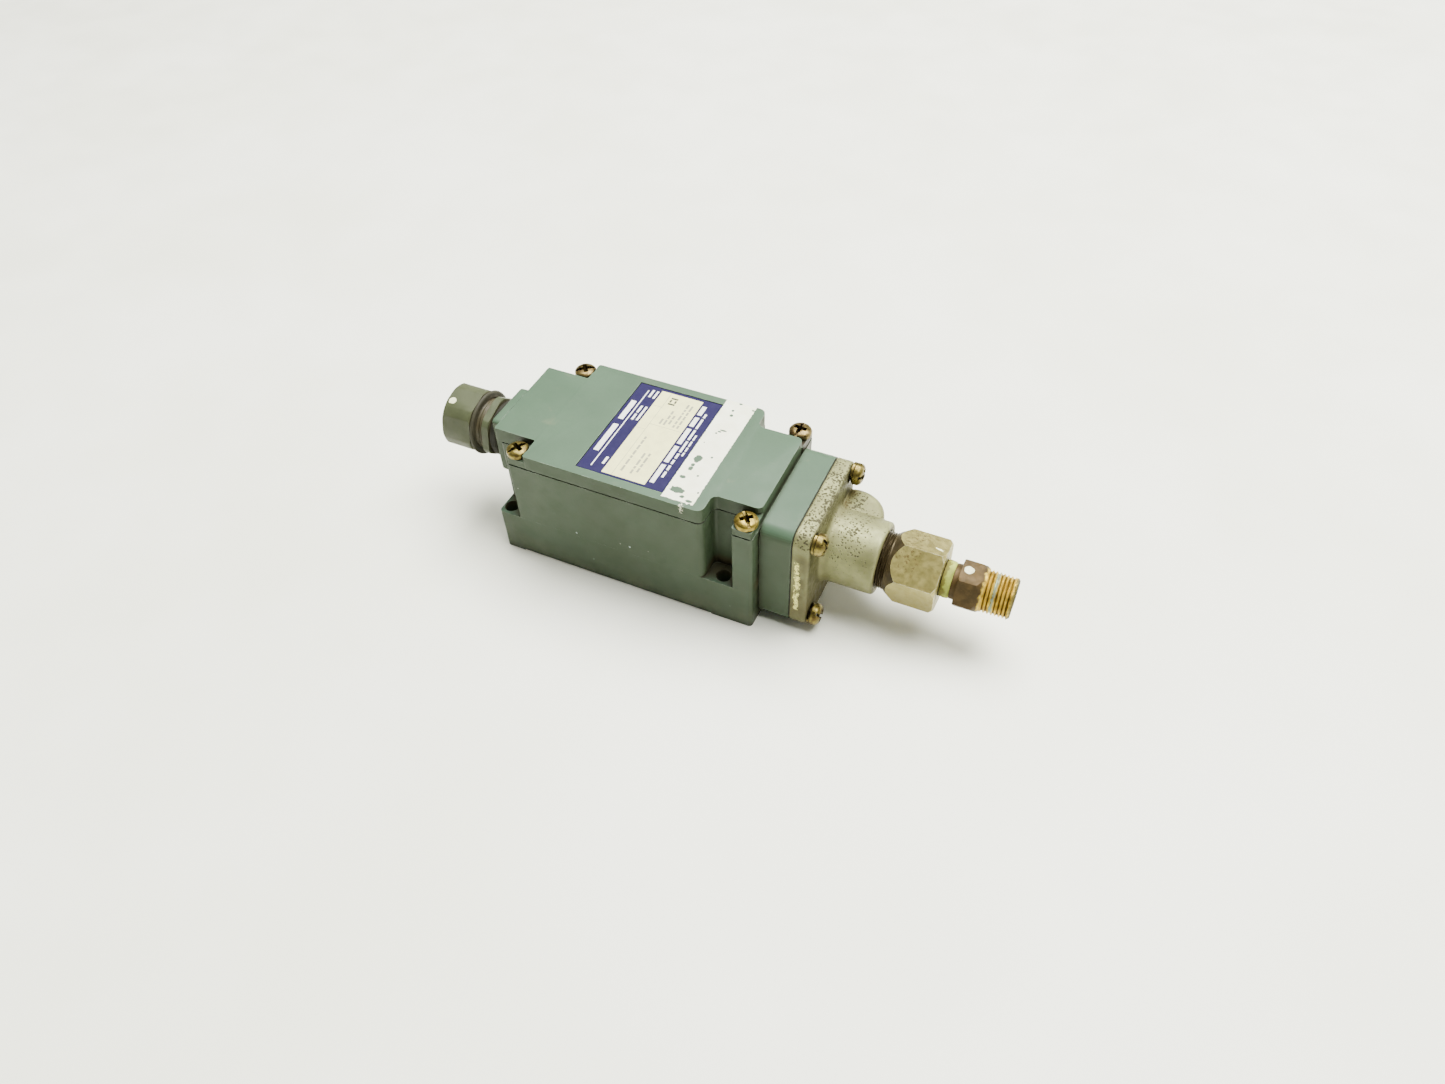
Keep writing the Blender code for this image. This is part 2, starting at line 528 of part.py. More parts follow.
def make_port_nipple():
    centre = (0, PORT_Z)
    nipple = prism("port_nipple", hexagon(NIPPLE_FLATS, centre, 8.4), NIPPLE_HEX_X0 - 1, NIPPLE_HEX_X1 + 1, "X",
                   BRONZED)
    envelope = hex_envelope(NIPPLE_HEX_X0, NIPPLE_HEX_X1, NIPPLE_FLATS, (0.7, 7.3), (2.0, 7.3))
    trim_to_turned(nipple, envelope, 40, centre)
    spigot = [(NIPPLE_X0, 0), (NIPPLE_X0, 5.4), (NIPPLE_X0 + 0.6, 5.9), (78.4, 5.9), (78.7, 5.0), (82.2, 5.0),
              (82.2, 5.9), (NIPPLE_HEX_X0 + 3, 5.9), (NIPPLE_HEX_X0 + 3, NIPPLE_THREAD_R),
              (NIPPLE_X1 - 1.0, NIPPLE_THREAD_R - 0.25), (NIPPLE_X1, 5.5), (NIPPLE_X1, 0)]
    join(nipple, turned("nipple_spigot", spigot, 28, centre))
    cut(nipple, rod("nipple_bore", NIPPLE_X0 - 5, NIPPLE_X1 + 5, NIPPLE_BORE_R, 24, centre))
    ring("nipple_seal", ADAPTER_X1 + GAP, 81.9, 5.3, 6.15, 32, centre, look=SEALANT)


# ================================================================ cable gland
def make_gland():
    centre = (GLAND_Y, GLAND_Z)
    ring("gland_seal", FLANGE_X1 + GAP, BOSS_FACE_X - GAP, GLAND_STUB_R + GAP, 9.9, 36, centre, look=RUBBER)

    body = prism("gland_body", hexagon(FLANGE_FLATS, centre, 19), FLANGE_X0 - 1, FLANGE_X1 + 1, "X", GLAND_GREY)
    trim_to_turned(body, [(FLANGE_X0, 0), (FLANGE_X0, FLANGE_ROUND_R), (FLANGE_X1, FLANGE_ROUND_R),
                          (FLANGE_X1, 0)], 48, centre)
    neck_x0 = CAP_SOCKET_X + 1.5
    join(body, turned("gland_stub", [(FLANGE_X0 + 1.0, 0), (FLANGE_X0 + 1.0, GLAND_STUB_R), (-72.4, GLAND_STUB_R),
                                     (-71.8, 7.3), (-71.8, 0)], 28, centre),
         turned("gland_neck", [(neck_x0, 0), (neck_x0, GLAND_NECK_R - 0.6), (neck_x0 + 0.6, GLAND_NECK_R),
                               (FLANGE_X1 - 0.8, GLAND_NECK_R), (FLANGE_X1 - 0.8, 0)], 32, centre))
    cut(body, rod("gland_bore", -100, -68, 6.2, 24, centre))

    profile = [(-88.7, 9.3), (-88.7, 11.3), (-88.4, 11.6), (-87.7, 11.6), (-87.4, 11.3), (-87.4, 9.3)]
    turned("gland_rubber_ring", profile, 36, centre, look=RUBBER)
    ring("gland_clamp_ring", CAP_SOCKET_X + GAP, CAP_SOCKET_X + GAP + 0.8, 5.4, 8.9, 24, centre, look=STEEL)
    ring("gland_grommet", neck_x0 + 0.1, -86.0, 3.6, 5.9, 24, centre, look=RUBBER)

    cap = prism("gland_cap", hexagon(CAP_FLATS, centre, 14.6), CAP_X0 - 1, CAP_X1 + 1, "X", GLAND_GREY)
    rounding = [(CAP_X0 + 0.8 - 0.8 * math.sin(t), CAP_ROUND_R - 0.8 + 0.8 * math.cos(t))
                for t in [math.radians(90 - 45 * k) for k in range(3)]]
    trim_to_turned(cap, [(CAP_X0, 0)] + rounding + [(CAP_X1, CAP_ROUND_R), (CAP_X1, 0)], 48, centre)
    bore = [(CAP_X0 - 5, 0), (CAP_X0 - 5, 5.6), (CAP_SOCKET_X, 5.6), (CAP_SOCKET_X, 9.3), (CAP_X1 + 5, 9.3),
            (CAP_X1 + 5, 0)]
    cut(cap, turned("cap_bore", bore, 28, centre))


# ================================================================ push rod, lever and range spring
def make_push_rod():
    centre = (0, PORT_Z)
    profile = [(ROD_TIP_X, 0), (ROD_TIP_X, 1.2), (ROD_TIP_X + 0.8, ROD_R), (30.6, ROD_R), (30.6, 9.0),
               (33.2, 9.0), (33.6, 8.4), (33.6, 0)]
    turned("push_rod", profile, 24, centre, look=STEEL)
    bush = [(18.5, ROD_R + 0.08), (18.5, 5.0), (23.6, 5.0), (23.6, 7.5), (25.6, 7.5), (25.6, ROD_R + 0.08)]
    turned("rod_guide", bush, 24, centre, look=BRASS)


def make_lever():
    half = LEVER_T / 2
    outline = ((-6.0, PIVOT_Z + 2), (14.8, PIVOT_Z + 2), (14.8, LEVER_Z1), (8.0, LEVER_Z1), (4.5, 29.5), (-6.0, 29.5))
    plate = prism("lever", outline, PIVOT_X - half, PIVOT_X + half, "X", STEEL)
    join(plate, ring("lever_barrel", -7.9, 15.1, 1.58, 3.0, 20, (PIVOT_X, PIVOT_Z), "Y"))
    rod("pivot_pin", -9.9, 17.0, 1.5, 20, (PIVOT_X, PIVOT_Z), "Y", STEEL)


def helix_points(x0, x1, radius, turns, per_turn):
    """Compression spring along X: one flat turn at each end, the rest evenly pitched."""
    points = []
    count = int(turns * per_turn)
    for i in range(count + 1):
        turn = i / per_turn
        share = min(max((turn - 0.8) / (turns - 1.6), 0.0), 1.0)
        angle = 2 * math.pi * turn
        points.append((x0 + (x1 - x0) * share, radius * math.cos(angle), PORT_Z + radius * math.sin(angle)))
    return points


def wire(name, points, radius, resolution, look):
    """Round wire along a chain of points in mm, closed at both ends."""
    curve = bpy.data.curves.new(name, "CURVE")
    curve.dimensions = "3D"
    curve.bevel_depth = radius * MM
    curve.bevel_resolution = resolution
    curve.use_fill_caps = True
    spline = curve.splines.new("POLY")
    spline.points.add(len(points) - 1)
    for spot, point in zip(spline.points, points):
        spot.co = (point[0] * MM, point[1] * MM, point[2] * MM, 1.0)
    curve.materials.append(material(*look))
    obj = bpy.data.objects.new(name, curve)
    bpy.context.scene.collection.objects.link(obj)
    return obj


def make_range_spring():
    wire_r = 0.65
    points = helix_points(SPRING_X0 + wire_r, SPRING_X1 - wire_r, 4.3, 7.6, 11)
    wire("range_spring", points, wire_r, 1, STEEL)


def make_adjuster():
    centre = (0, PORT_Z)
    turned("spring_seat", [(SEAT_X0, 0), (SEAT_X0, 5.6), (SPRING_X0 - GAP, 5.6), (SPRING_X0 - GAP, 3.2),
                           (SPRING_X0 + 3, 3.0), (SPRING_X0 + 3, 0)], 24, centre,
           look=BRASS)
    screw = turned("adjusting_screw", [(-50, 0), (-50, 4.6), (-49.6, 5.0), (-46.4, 5.0), (-46, 4.6), (-46, 3.0),
                                       (SEAT_X0 - GAP - 0.8, 3.0), (SEAT_X0 - GAP, 2.2), (SEAT_X0 - GAP, 0)],
                   20, centre, look=BRASS)
    cut(screw, box("adjuster_slot", -55, -48.7, -0.6, 0.6, PORT_Z - 9, PORT_Z + 9))
    nut_x1 = BRACKET_X0 - GAP
    nut = prism("lock_nut", hexagon(10.0, centre, 0), nut_x1 - 3.2, nut_x1, "X", STEEL)
    cut(nut, rod("lock_nut_bore", -50, -30, 3.2, 24, centre))


# ================================================================ bracket and snap switch
def bracket_screw_places():
    return ((-27.0, -7.0), (-12.0, -7.0))


def make_bracket():
    z0, z1 = FLOOR_Z + GAP, FLOOR_Z + GAP + 1.5
    bracket = box("switch_bracket", BRACKET_X0, BRACKET_X1, -10.0, 18.5, z0, z1, STEEL)
    join(bracket,
         box("bracket_wall", BRACKET_X0, BRACKET_X0 + BRACKET_WALL_T, -9.0, 7.0, z0 + 0.2, 31.0),
         box("switch_wall", -24.5, -7.0, 17.0, 18.49, z0 + 0.2, 37.0),
         box("pivot_ear_front", PIVOT_X - 3.7, PIVOT_X + 3.7, -9.7, -8.2, z0 + 0.2, PIVOT_Z + 4),
         box("pivot_ear_rear", PIVOT_X - 3.7, PIVOT_X + 3.7, 15.4, 16.9, z0 + 0.2, PIVOT_Z + 4))
    cut(bracket, rod("adjuster_hole", BRACKET_X0 - 5, BRACKET_X0 + 5, 3.2, 24, (0, PORT_Z)),
        rod("pin_holes", -15, 20, 1.8, 20, (PIVOT_X, PIVOT_Z), "Y"))
    for n, (x, y) in enumerate(bracket_screw_places(), 1):
        cut(bracket, rod(f"bracket_hole_{n}", 0, 10, 1.8, 16, (x, y), "Z"))
        pan_screw(f"bracket_screw_{n}", (x, y, z1 + SEAT), (0, 0, 1), 2.8, 1.9, 1.4, 4.1, STEEL)
    for n, (x, z) in enumerate(switch_screw_places()):
        cut(bracket, rod(f"switch_wall_hole_{n}", 16, 20, 1.8, 16, (x, z), "Y"))


def switch_screw_places():
    return ((-18.5, 12.0), (-18.5, 31.0))


def make_snap_switch():
    body = box("snap_switch", SWITCH_X1 - SWITCH_DEPTH, SWITCH_X1, SWITCH_Y0, SWITCH_Y1, SWITCH_Z0, SWITCH_Z1,
               PHENOLIC)
    middle_y = (SWITCH_Y0 + SWITCH_Y1) / 2
    cut(body, rod("plunger_hole", SWITCH_X1 - 7, SWITCH_X1 + 5, PLUNGER_R + 0.08, 20, (middle_y, PLUNGER_Z)))
    for n, (x, z) in enumerate(switch_screw_places(), 1):
        cut(body, rod(f"snap_switch_hole_{n}", 0, 20, 1.6, 16, (x, z), "Y"))
        pan_screw(f"switch_screw_{n}", (x, SWITCH_Y0 - SEAT, z), (0, -1, 0), 2.6, 1.7, 1.4, 13.0, STEEL)
    tip = SWITCH_X1 + 2.8
    turned("switch_plunger", [(SWITCH_X1 - 4.5, 0), (SWITCH_X1 - 4.5, PLUNGER_R), (tip - 0.6, PLUNGER_R),
                              (tip - 0.2, 1.0), (tip, 0.5), (tip, 0)], 20, (middle_y, PLUNGER_Z),
           look=WHITE_NYLON)


# ================================================================ wiring
def terminal_fixing_places():
    return ((-59.5, -12.6), (-59.5, 12.6))


def make_terminal_block():
    z0 = FLOOR_Z + GAP
    block = box("terminal_block", TERMINAL_X0 + 2, TERMINAL_X1 - 2, -14.4, 14.4, z0, z0 + 3, WHITE_NYLON)
    join(block, box("terminal_tower", TERMINAL_X0, TERMINAL_X1, -11.2 + 0.9, 11.2 - 0.9, z0 + 0.2, 15.5))
    for n, row in enumerate((-1, 0, 1), 1):
        y = row * 6.8
        well = [(10.6, 0), (10.6, 1.7), (14.6, 1.7), (14.6, 2.7), (20, 2.7), (20, 0)]
        cut(block, turned(f"terminal_well_{n}", well, 20, (-59.5, y), "Z"),
            rod(f"wire_hole_{n}", TERMINAL_X0 - 5, TERMINAL_X1 + 5, 1.3, 14, (y, 9.0)))
        pan_screw(f"terminal_screw_{n}", (-59.5, y, 14.6 + SEAT), (0, 0, 1), 2.4, 1.6, 1.4, 3.9, STEEL)
    for n, (x, y) in enumerate(terminal_fixing_places(), 1):
        cut(block, rod(f"terminal_fixing_hole_{n}", 0, 10, 1.3, 14, (x, y), "Z"))
    pan_screw("earth_screw", (-42, -18, 8 + SEAT), (0, 0, 1), 3.6, 2.2, 1.7, 5.2, BRASS)


def smooth_route(points, per_span=7):
    """Catmull-Rom curve through a short list of points."""
    padded = [points[0]] + list(points) + [points[-1]]
    route = []
    for i in range(len(points) - 1):
        p0, p1, p2, p3 = (Vector(p) for p in padded[i:i + 4])
        for k in range(per_span):
            t = k / per_span
            route.append(0.5 * ((2 * p1) + (p2 - p0) * t + (2 * p0 - 5 * p1 + 4 * p2 - p3) * t * t
                                + (3 * p1 - p0 - 3 * p2 + p3) * t ** 3))
    route.append(Vector(points[-1]))
    return route


def make_leads():
    switch_back = SWITCH_X1 - SWITCH_DEPTH
    middle_y = (SWITCH_Y0 + SWITCH_Y1) / 2
    runs = (("lead_common", (0.02, 0.02, 0.02), 14.0, 6.8, ((-34, 14.6, 13.0), (-43, 11.5, 11.0))),
            ("lead_open", (0.04, 0.10, 0.35), 21.0, 0.0, ((-34, 12.6, 20.0), (-43, 6.0, 12.0))),
            ("lead_closed", (0.35, 0.05, 0.03), 28.0, -6.8, ((-34, 10.9, 24.5), (-41.5, 3.6, 15.0))))
    for name, colour, z, y, middle in runs:
        route = smooth_route(((switch_back - GAP, middle_y, z), (switch_back - 4, middle_y + 0.4, z), *middle,
                              (-48, y + 0.6, 9.6), (TERMINAL_X1 + 0.6, y, 9.0)), 5)
        wire(name, route, 0.8, 1, (name, colour, 0.45))


def main():
    clear_scene()
    make_case()
    make_cover()
    make_cover_gasket()
    make_label()
    make_cover_screws()
    make_stem_block()
    make_head_gasket()
    make_diaphragm()
    make_pressure_head()
    make_head_screws()
    make_port_adapter()
    make_port_nipple()
    make_gland()
    make_push_rod()
    make_lever()
    make_range_spring()
    make_adjuster()
    make_bracket()
    make_snap_switch()
    make_terminal_block()
    make_leads()


main()
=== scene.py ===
"""Visual model of a block-type pressure switch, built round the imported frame.

Lengths are in millimetres in the frame's axes (+X to the pressure fitting, +Z out of the cover) and are
turned into metres where a mesh is made.
"""
import json
import random
from math import cos, pi, radians, sin, sqrt, tan

import bmesh
import bpy
from mathutils import Matrix, Vector


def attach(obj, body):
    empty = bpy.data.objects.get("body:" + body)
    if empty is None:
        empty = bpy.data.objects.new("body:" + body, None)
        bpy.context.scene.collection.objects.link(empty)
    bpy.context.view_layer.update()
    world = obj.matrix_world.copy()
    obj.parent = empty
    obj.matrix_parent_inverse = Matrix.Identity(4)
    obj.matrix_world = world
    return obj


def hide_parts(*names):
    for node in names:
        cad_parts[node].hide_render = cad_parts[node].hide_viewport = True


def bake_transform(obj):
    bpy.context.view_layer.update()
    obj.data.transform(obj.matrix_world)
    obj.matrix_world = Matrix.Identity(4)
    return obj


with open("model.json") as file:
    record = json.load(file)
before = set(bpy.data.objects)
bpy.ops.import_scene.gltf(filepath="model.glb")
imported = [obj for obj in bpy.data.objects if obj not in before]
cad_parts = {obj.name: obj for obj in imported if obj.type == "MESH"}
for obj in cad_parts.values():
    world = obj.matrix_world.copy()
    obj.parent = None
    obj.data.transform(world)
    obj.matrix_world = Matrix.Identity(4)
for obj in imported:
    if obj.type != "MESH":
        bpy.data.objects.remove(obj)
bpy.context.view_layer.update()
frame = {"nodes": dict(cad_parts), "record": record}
MM = 0.001
X_AXIS, Z_AXIS = Vector((1, 0, 0)), Vector((0, 0, 1))

# Main sizes, close to the CAD's. A pair named _X, _Y or _Z is the two ends along that axis.
PORT = (0.0, 23.3)                  # y, z of the pressure axis
GLAND = (-4.9, 36.4)                # y, z of the cable gland's axis
CASE_X, COVER_X = (-74.0, 23.0), (-75.2, 22.6)
TONGUE_Y, HALF_Y = 17.9, 26.5       # half widths of the tongues and of the middle
POCKET_Z, RIM_Z, COVER_Z0, TOP_Z = 17.4, 42.5, 43.0, 48.5
POCKET_X1, COLUMN_X1 = 6.0, -59.1   # where the cover's right and left cut-aways end
LUG_Z = 45.7                        # seat of the cover screws
FIXING_X, FIXING_Y, FIXING_R = (-71.0, 11.4), 22.8, 2.3
GLAND_BOSS_X, GLAND_BOSS_Y = (-78.5, -75.3), (-15.0, 4.8)
STRIPE_X, STRIPE_FRONT_Y = (-8.9, 2.2), -24.7
LABEL_X, LABEL_Y, LABEL_Z = (-40.45, -9.25), (-23.1, 23.2), (48.0, 48.4)
FIELD = (-31.6, -15.9, -22.3, 22.0)  # x0, x1, y0, y1 of the label's pale field
INK_T = 0.02                        # printed bars stand this high
SCREWS_XY = ((-63.0, 22.8), (-63.0, -22.8), (19.6, 22.8), (19.6, -22.8))
HEAD_SCREWS_YZ = ((-17.4, 40.3), (17.4, 40.3), (-17.4, 6.3), (17.4, 6.3))
# Each screw's head radius, head height, shank radius and length
COVER_SCREW, HEAD_SCREW = (3.9, 2.5, 1.9, 16), (3.75, 3.0, 1.9, 24)
HEAD_SCREW_X, WASHER_X = 41.4, (40.4, 41.3)
BLOCK_X, SHEET_X, PLATE_X = (23.3, 34.1), (34.15, 34.45), (34.5, 40.3)
BOSS_X1, BOSS_R, DIAPHRAGM_R = 58.7, 12.4, 15.3
LUG_XY, LUG_R, LUG_TOP_Z = (44.0, 8.0), 11, 33
ADAPTER_X, ADAPTER_FLATS, ADAPTER_TURN = (61.9, 78.7), 21.4, 41.7
NIPPLE_X, NIPPLE_FLATS, NIPPLE_TURN = (84.0, 92.3), 15.0, 8.4
THREAD_X, THREAD_R, THREAD_PITCH, TIP_X, NIPPLE_BORE_R = (91.3, 101.2), 7.2, 1.22, 102.0, 3.2
CAP_X, CAP_FLATS, CAP_TURN, CAP_R = (-100.4, -89.0), 21.7, 14.6, 11.6
FLANGE_X, FLANGE_FLATS, FLANGE_TURN, FLANGE_R = (-84.5, -81.8), 20.0, 19, 11.0
CABLE_R = 6.2                       # bore of the gland body
SPRING_X, SPRING_R, WIRE_R, SPRING_TURNS = (-22.35, -5.4), 4.3, 0.65, 7.6

# Camera, matched to the photograph's viewing angle
CAMERA_TURN = (25.5, 47.23, -1.564)  # azimuth, elevation and roll in degrees
CAMERA_PLACE = (107.98, -225.60, 276.67)
SENSOR_WIDTH, LENS = 36.0, 25.742


# ------------------------------------------------------------------ outlines and solids
def arc(ca, cb, radius, start, end, steps):
    return [(ca + radius * cos(radians(start + (end - start) * i / steps)),
             cb + radius * sin(radians(start + (end - start) * i / steps))) for i in range(steps + 1)]


def rounded(corners, steps=6):
    """Polygon from (a, b, radius) corners, each rounded to its radius."""
    points = []
    for i, (a, b, radius) in enumerate(corners):
        here = Vector((a, b))
        if not radius:
            points.append((a, b))
            continue
        before = (Vector(corners[i - 1][:2]) - here).normalized()
        after = (Vector(corners[(i + 1) % len(corners)][:2]) - here).normalized()
        half = before.angle(after) / 2
        middle = here + (before + after).normalized() * radius / sin(half)
        spoke = here + before * radius / tan(half) - middle
        sweep = spoke.angle_signed(here + after * radius / tan(half) - middle)
        points += [tuple(middle + Matrix.Rotation(-sweep * k / steps, 2) @ spoke) for k in range(steps + 1)]
    return points


def rectangle(a0, a1, b0, b1, radius=0.0, steps=6):
    return rounded([(a0, b0, radius), (a1, b0, radius), (a1, b1, radius), (a0, b1, radius)], steps)


def outward(bm):
    """Turns all faces outwards."""
    bmesh.ops.recalc_face_normals(bm, faces=bm.faces)
    return bm


def prism(outline, low, high, axis="Z"):
    """Solid between two copies of an outline in x, y (axis Z), y, z (axis X) or x, z (axis Y)."""
    lift = {"Z": lambda a, b, h: (a, b, h), "X": lambda a, b, h: (h, a, b), "Y": lambda a, b,
            h: (a, h, b)}[axis]
    bm = bmesh.new()
    ends = [[bm.verts.new(lift(a, b, h)) for a, b in outline] for h in (low, high)]
    for end in ends:
        bm.faces.new(end)
    for i in range(len(outline)):
        j = (i + 1) % len(outline)
        bm.faces.new((ends[0][i], ends[0][j], ends[1][j], ends[1][i]))
    return outward(bm)


def block(x0, x1, y0, y1, z0, z1):
    return prism(rectangle(x0, x1, y0, y1), z0, z1)


def turned(profile, steps=96, centre=(0.0, 0.0), axis="X", ripple=None):
    """Turned solid from a closed chain of (along, radius); ripple(along, angle) adds to the radius."""
    bm = bmesh.new()
    rings = []
    for along, radius in profile:
        ring = []
        for k in range(1 if radius == 0 else steps):
            angle = 2 * pi * k / steps
            r = radius + (ripple(along, angle) if ripple and radius else 0.0)
            a, b = centre[0] + r * cos(angle), centre[1] + r * sin(angle)
            ring.append(bm.verts.new((along, a, b) if axis == "X" else (a, b, along) if axis == "Z"
                                     else (a, along, b)))
        rings.append(ring)
    for one, two in zip(rings, rings[1:] + rings[:1]):
        if len(one) == len(two) == 1:
            continue
        for k in range(steps):
            n = (k + 1) % steps
            bm.faces.new(list(dict.fromkeys((one[k % len(one)], one[n % len(one)],
                                             two[n % len(two)], two[k % len(two)]))))
    return outward(bm)


def solid_turned(profile, steps, centre, axis="X"):
    """Turned solid from an open chain, closed at both ends on its axis."""
    return turned([(profile[0][0], 0)] + profile + [(profile[-1][0], 0)], steps, centre, axis)


def rod(low, high, radius, centre=(0.0, 0.0), axis="X", steps=48):
    return solid_turned([(low, radius), (high, radius)], steps, centre, axis)


def hexagon(flats, centre, corner_deg):
    return [(centre[0] + flats / sqrt(3) * cos(radians(corner_deg + 60 * k)),
             centre[1] + flats / sqrt(3) * sin(radians(corner_deg + 60 * k))) for k in range(6)]


def threaded(x0, x1, major, depth, pitch, centre, tail, taper=0.0, step=0.11, steps=80):
    """Rod with a helical thread between x0 and x1. tail is the chain of (x, radius) that closes it."""
    count = max(2, round((x1 - x0) / step))
    chain = [(x0 + (x1 - x0) * i / count, major) for i in range(count + 1)]

    def groove(x, angle):
        if not x0 <= x <= x1:
            return 0.0
        phase = ((x - x0) / pitch - angle / (2 * pi)) % 1.0
        fade = min(1.0, (x - x0) / 0.8, (x1 - x) / 0.5)
        return -depth * max(0.0, fade) * min(1.0, abs(phase - 0.5) * 2.2) - taper * (x - x0)
    return turned(list(tail[0]) + chain + list(tail[1]), steps, centre, "X", groove)


def linked(name, data):
    obj = bpy.data.objects.new(name, data)
    bpy.context.scene.collection.objects.link(obj)
    return obj


def mesh_of(name, bm):
    mesh = bpy.data.meshes.new(name)
    bm.to_mesh(mesh)
    bm.free()
    return mesh


def temp(bm):
    return linked("temp", mesh_of("temp", bm))


def settle(obj, *extra):
    """Evaluates an object's modifiers into a new bmesh and removes the object and its helpers."""
    bpy.context.view_layer.update()
    mesh = bpy.data.meshes.new_from_object(obj.evaluated_get(bpy.context.evaluated_depsgraph_get()))
    out = bmesh.new()
    out.from_mesh(mesh)
    bpy.data.meshes.remove(mesh)
    for one in (obj, *extra):
        bpy.data.objects.remove(one)
    return out


def combine(base, *steps):
    """Exact Booleans on bmeshes: steps are ("DIFFERENCE" | "UNION" | "INTERSECT", bmesh)."""
    shell, others = temp(base), []
    for operation, bm in steps:
        other = temp(bm)
        mod = shell.modifiers.new("step", "BOOLEAN")
        mod.operation, mod.solver, mod.object = operation, "EXACT", other
        others.append(other)
    return settle(shell, *others)


def less(*cutters):
    return [("DIFFERENCE", bm) for bm in cutters]


def plus(*volumes):
    return [("UNION", bm) for bm in volumes]


def cast(bm, voxel, smooth):
    """Remeshes a bmesh so that its edges run into each other like a casting's."""
    obj = temp(bm)
    mod = obj.modifiers.new("remesh", "REMESH")
    mod.mode, mod.voxel_size = "VOXEL", voxel
    mod = obj.modifiers.new("smooth", "SMOOTH")
    mod.factor, mod.iterations = 0.5, smooth
    return settle(obj)


def round_edges(bm, chosen, width, segments=4):
    bmesh.ops.bevel(bm, geom=[e for e in bm.edges if chosen(*[v.co for v in e.verts])], offset=width,
                    segments=segments, profile=0.5, affect="EDGES", clamp_overlap=True)
    return bm


def aim(direction, spin=0.0):
    """Turns +Z to a direction, after a spin about it in degrees."""
    turn = Z_AXIS.rotation_difference(Vector(direction)).to_matrix()
    return (turn @ Matrix.Rotation(radians(spin), 3, "Z")).to_4x4()


def moved(bm, place, direction=(0, 0, 1), spin=0.0):
    bmesh.ops.transform(bm, matrix=Matrix.Translation(place) @ aim(direction, spin), verts=bm.verts)
    return bm


def piece(name, bm, look, stands_for=(), bevel=0.0, segments=3, sharp=32, bevel_where=None,
          body="case_body"):
    """Makes a finished piece from a bmesh in millimetres. bevel_where(middle) limits the bevelled edges,
    and body None leaves the piece unattached, as for the spring, which sits between two bodies."""
    if bevel_where:
        weight = bm.edges.layers.float.new("bevel_weight_edge")
        for edge in bm.edges:
            middle = (edge.verts[0].co + edge.verts[1].co) / 2
            if len(edge.link_faces) == 2 and edge.calc_face_angle() > radians(sharp) and bevel_where(middle):
                edge[weight] = 1.0
    bmesh.ops.scale(bm, vec=(MM, MM, MM), verts=bm.verts)
    mesh = mesh_of(name, bm)
    for one in look if isinstance(look, list) else [look]:
        mesh.materials.append(one)
    for face in mesh.polygons:
        face.use_smooth = True
    mesh.set_sharp_from_angle(angle=radians(sharp))
    obj = linked(name, mesh)
    if bevel:
        mod = obj.modifiers.new("edges", "BEVEL")
        mod.width, mod.segments, mod.limit_method = bevel * MM, segments, "WEIGHT" if bevel_where else "ANGLE"
        mod.angle_limit, mod.harden_normals = radians(sharp), True
        mod.use_clamp_overlap = True
    if body:
        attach(obj, body)
    else:
        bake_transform(obj)
    if stands_for:
        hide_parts(*([stands_for] if isinstance(stands_for, str) else stands_for))
    return obj


